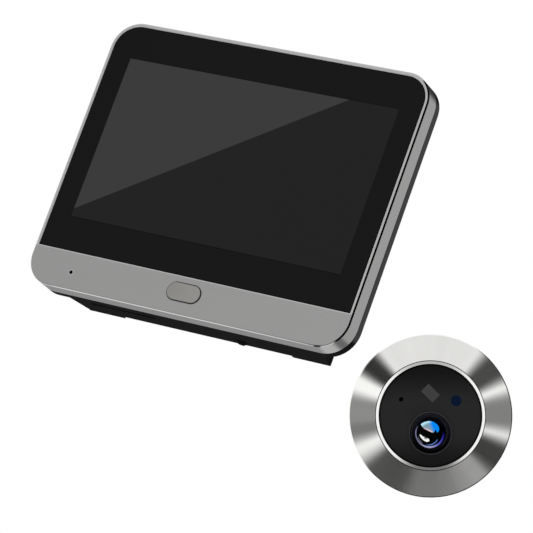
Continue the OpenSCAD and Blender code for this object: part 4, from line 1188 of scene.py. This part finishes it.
class DOORCAM_OT_barrel(bpy.types.Operator):
    """Turn the threaded barrel with its washer, nut and back plate"""

    bl_idname = "doorcam.barrel"
    bl_label = "Barrel, washer and nut"

    def execute(self, context):
        casing = context.scene.doorcam_casing
        steps = context.scene.doorcam_head.segments // 2
        core = turned("threaded_barrel", [
            (4.925, 8.0), (6.325, 8.0), (6.325, 9.4), (7.4, 9.4), (7.4, 13.7), (6.325, 13.7), (6.325, 44.4),
            (6.225, 44.4), (6.225, 53.9), (5.725, 54.4), (5.325, 54.4), (5.325, 46.4), (4.925, 46.4),
        ], steps)
        rounded(core, 0.12 * MM, 2, 30)
        self.wind_thread(core)
        dress(onto_head(core), "door_side", "cover_plastic", cover_plastic(casing), stands_for="door_barrel")

        plate = rounded(copied("back_plate", "head_back"), 0.2 * MM, 2, 35, flats=True)
        dress(plate, "door_side", "cover_plastic", cover_plastic(casing), stands_for="back_plate")

        washer = turned("flat_washer", [(7.3, 13.9), (15.0, 13.9), (15.0, 15.1), (7.3, 15.1)], steps)
        rounded(washer, 0.2 * MM, 3, 30)
        dress(onto_head(washer), "washer", "steel", steel(), stands_for="clamp_washer")

        nut = turned("hex_nut", [
            (7.6, 15.2), (11.2, 15.2), (12.7, 16.07), (12.7, 19.33), (11.2, 20.2), (7.6, 20.2), (7.1, 19.7),
            (7.1, 15.7),
        ], steps)
        self.cut_flats(nut)
        rounded(nut, 0.1 * MM, 2, 20)
        dress(onto_head(nut), "nut", "steel", nut_metal(), stands_for="lock_nut")
        return {"FINISHED"}

    def wind_thread(self, core):
        """Wind a thread round the barrel's core and join it on."""
        outline([(6.1, 12.3), (6.33, 12.3), (7.0, 12.86), (7.0, 13.05), (6.33, 13.61), (6.1, 13.61)])
        switch("OBJECT")
        thread = started("thread")
        coil = thread.modifiers.new("coil", "SCREW")
        coil.axis, coil.angle, coil.screw_offset, coil.iterations = "Y", math.tau, 1.5 * MM, 20
        coil.steps = coil.render_steps = 64
        bpy.ops.object.modifier_apply(modifier=coil.name)
        take(welded(thread, ends=8))
        core.select_set(True)
        bpy.context.view_layer.objects.active = core
        bpy.ops.object.join()
        smooth(30)

    def cut_flats(self, nut):
        """Cut a turned blank to six sides."""
        clear()
        bpy.ops.mesh.primitive_cylinder_add(
            vertices=6, radius=12.5 * MM, depth=20 * MM, location=(0, 17.7 * MM, 0), rotation=(math.pi / 2, 0, 0)
        )
        hexagon = started("hexagon")
        settle()
        first = hexagon.data.vertices[0].co
        hexagon.rotation_euler.y = math.atan2(first.z, first.x)
        settle()
        take(nut)
        cut = nut.modifiers.new("flats", "BOOLEAN")
        cut.operation, cut.object, cut.solver = "INTERSECT", hexagon, "EXACT"
        bpy.ops.object.modifier_apply(modifier=cut.name)
        bpy.data.objects.remove(hexagon)


class DOORCAM_PT_panel(bpy.types.Panel):
    """Lists the pieces and their finishes"""

    bl_idname = "DOORCAM_PT_panel"
    bl_label = "Door Camera"
    bl_space_type = "VIEW_3D"
    bl_region_type = "UI"
    bl_category = "Door Camera"

    def draw(self, context):
        for made in PIECES:
            self.layout.operator(made.bl_idname)
        for key in GROUPS:
            group = getattr(context.scene, key)
            box = self.layout.box()
            for name in group.bl_rna.properties.keys():
                if name not in {"rna_type", "name"}:
                    box.prop(group, name)


PIECES = (
    DOORCAM_OT_stage, DOORCAM_OT_casing, DOORCAM_OT_display, DOORCAM_OT_buttons, DOORCAM_OT_electronics,
    DOORCAM_OT_bracket, DOORCAM_OT_bezel, DOORCAM_OT_face, DOORCAM_OT_lens, DOORCAM_OT_barrel,
)
GROUPS = {
    "doorcam_casing": CasingFinish,
    "doorcam_glass": GlassFinish,
    "doorcam_head": HeadFinish,
    "doorcam_studio": StudioSettings,
}


def register():
    for made in (*GROUPS.values(), *PIECES, DOORCAM_PT_panel):
        bpy.utils.register_class(made)
    for key, group in GROUPS.items():
        setattr(bpy.types.Scene, key, PointerProperty(type=group))


def unregister():
    for key in GROUPS:
        delattr(bpy.types.Scene, key)
    for made in (DOORCAM_PT_panel, *reversed(PIECES), *reversed(GROUPS.values())):
        bpy.utils.unregister_class(made)


def main():
    register()
    bpy.ops.doorcam.stage()
    bpy.ops.doorcam.casing()
    bpy.ops.doorcam.display()
    bpy.ops.doorcam.buttons()
    bpy.ops.doorcam.electronics()
    bpy.ops.doorcam.bracket()
    bpy.ops.doorcam.bezel()
    bpy.ops.doorcam.face()
    bpy.ops.doorcam.lens()
    bpy.ops.doorcam.barrel()
    lit_apart()
    bpy.context.view_layer.update()


if __name__ == "__main__":
    main()
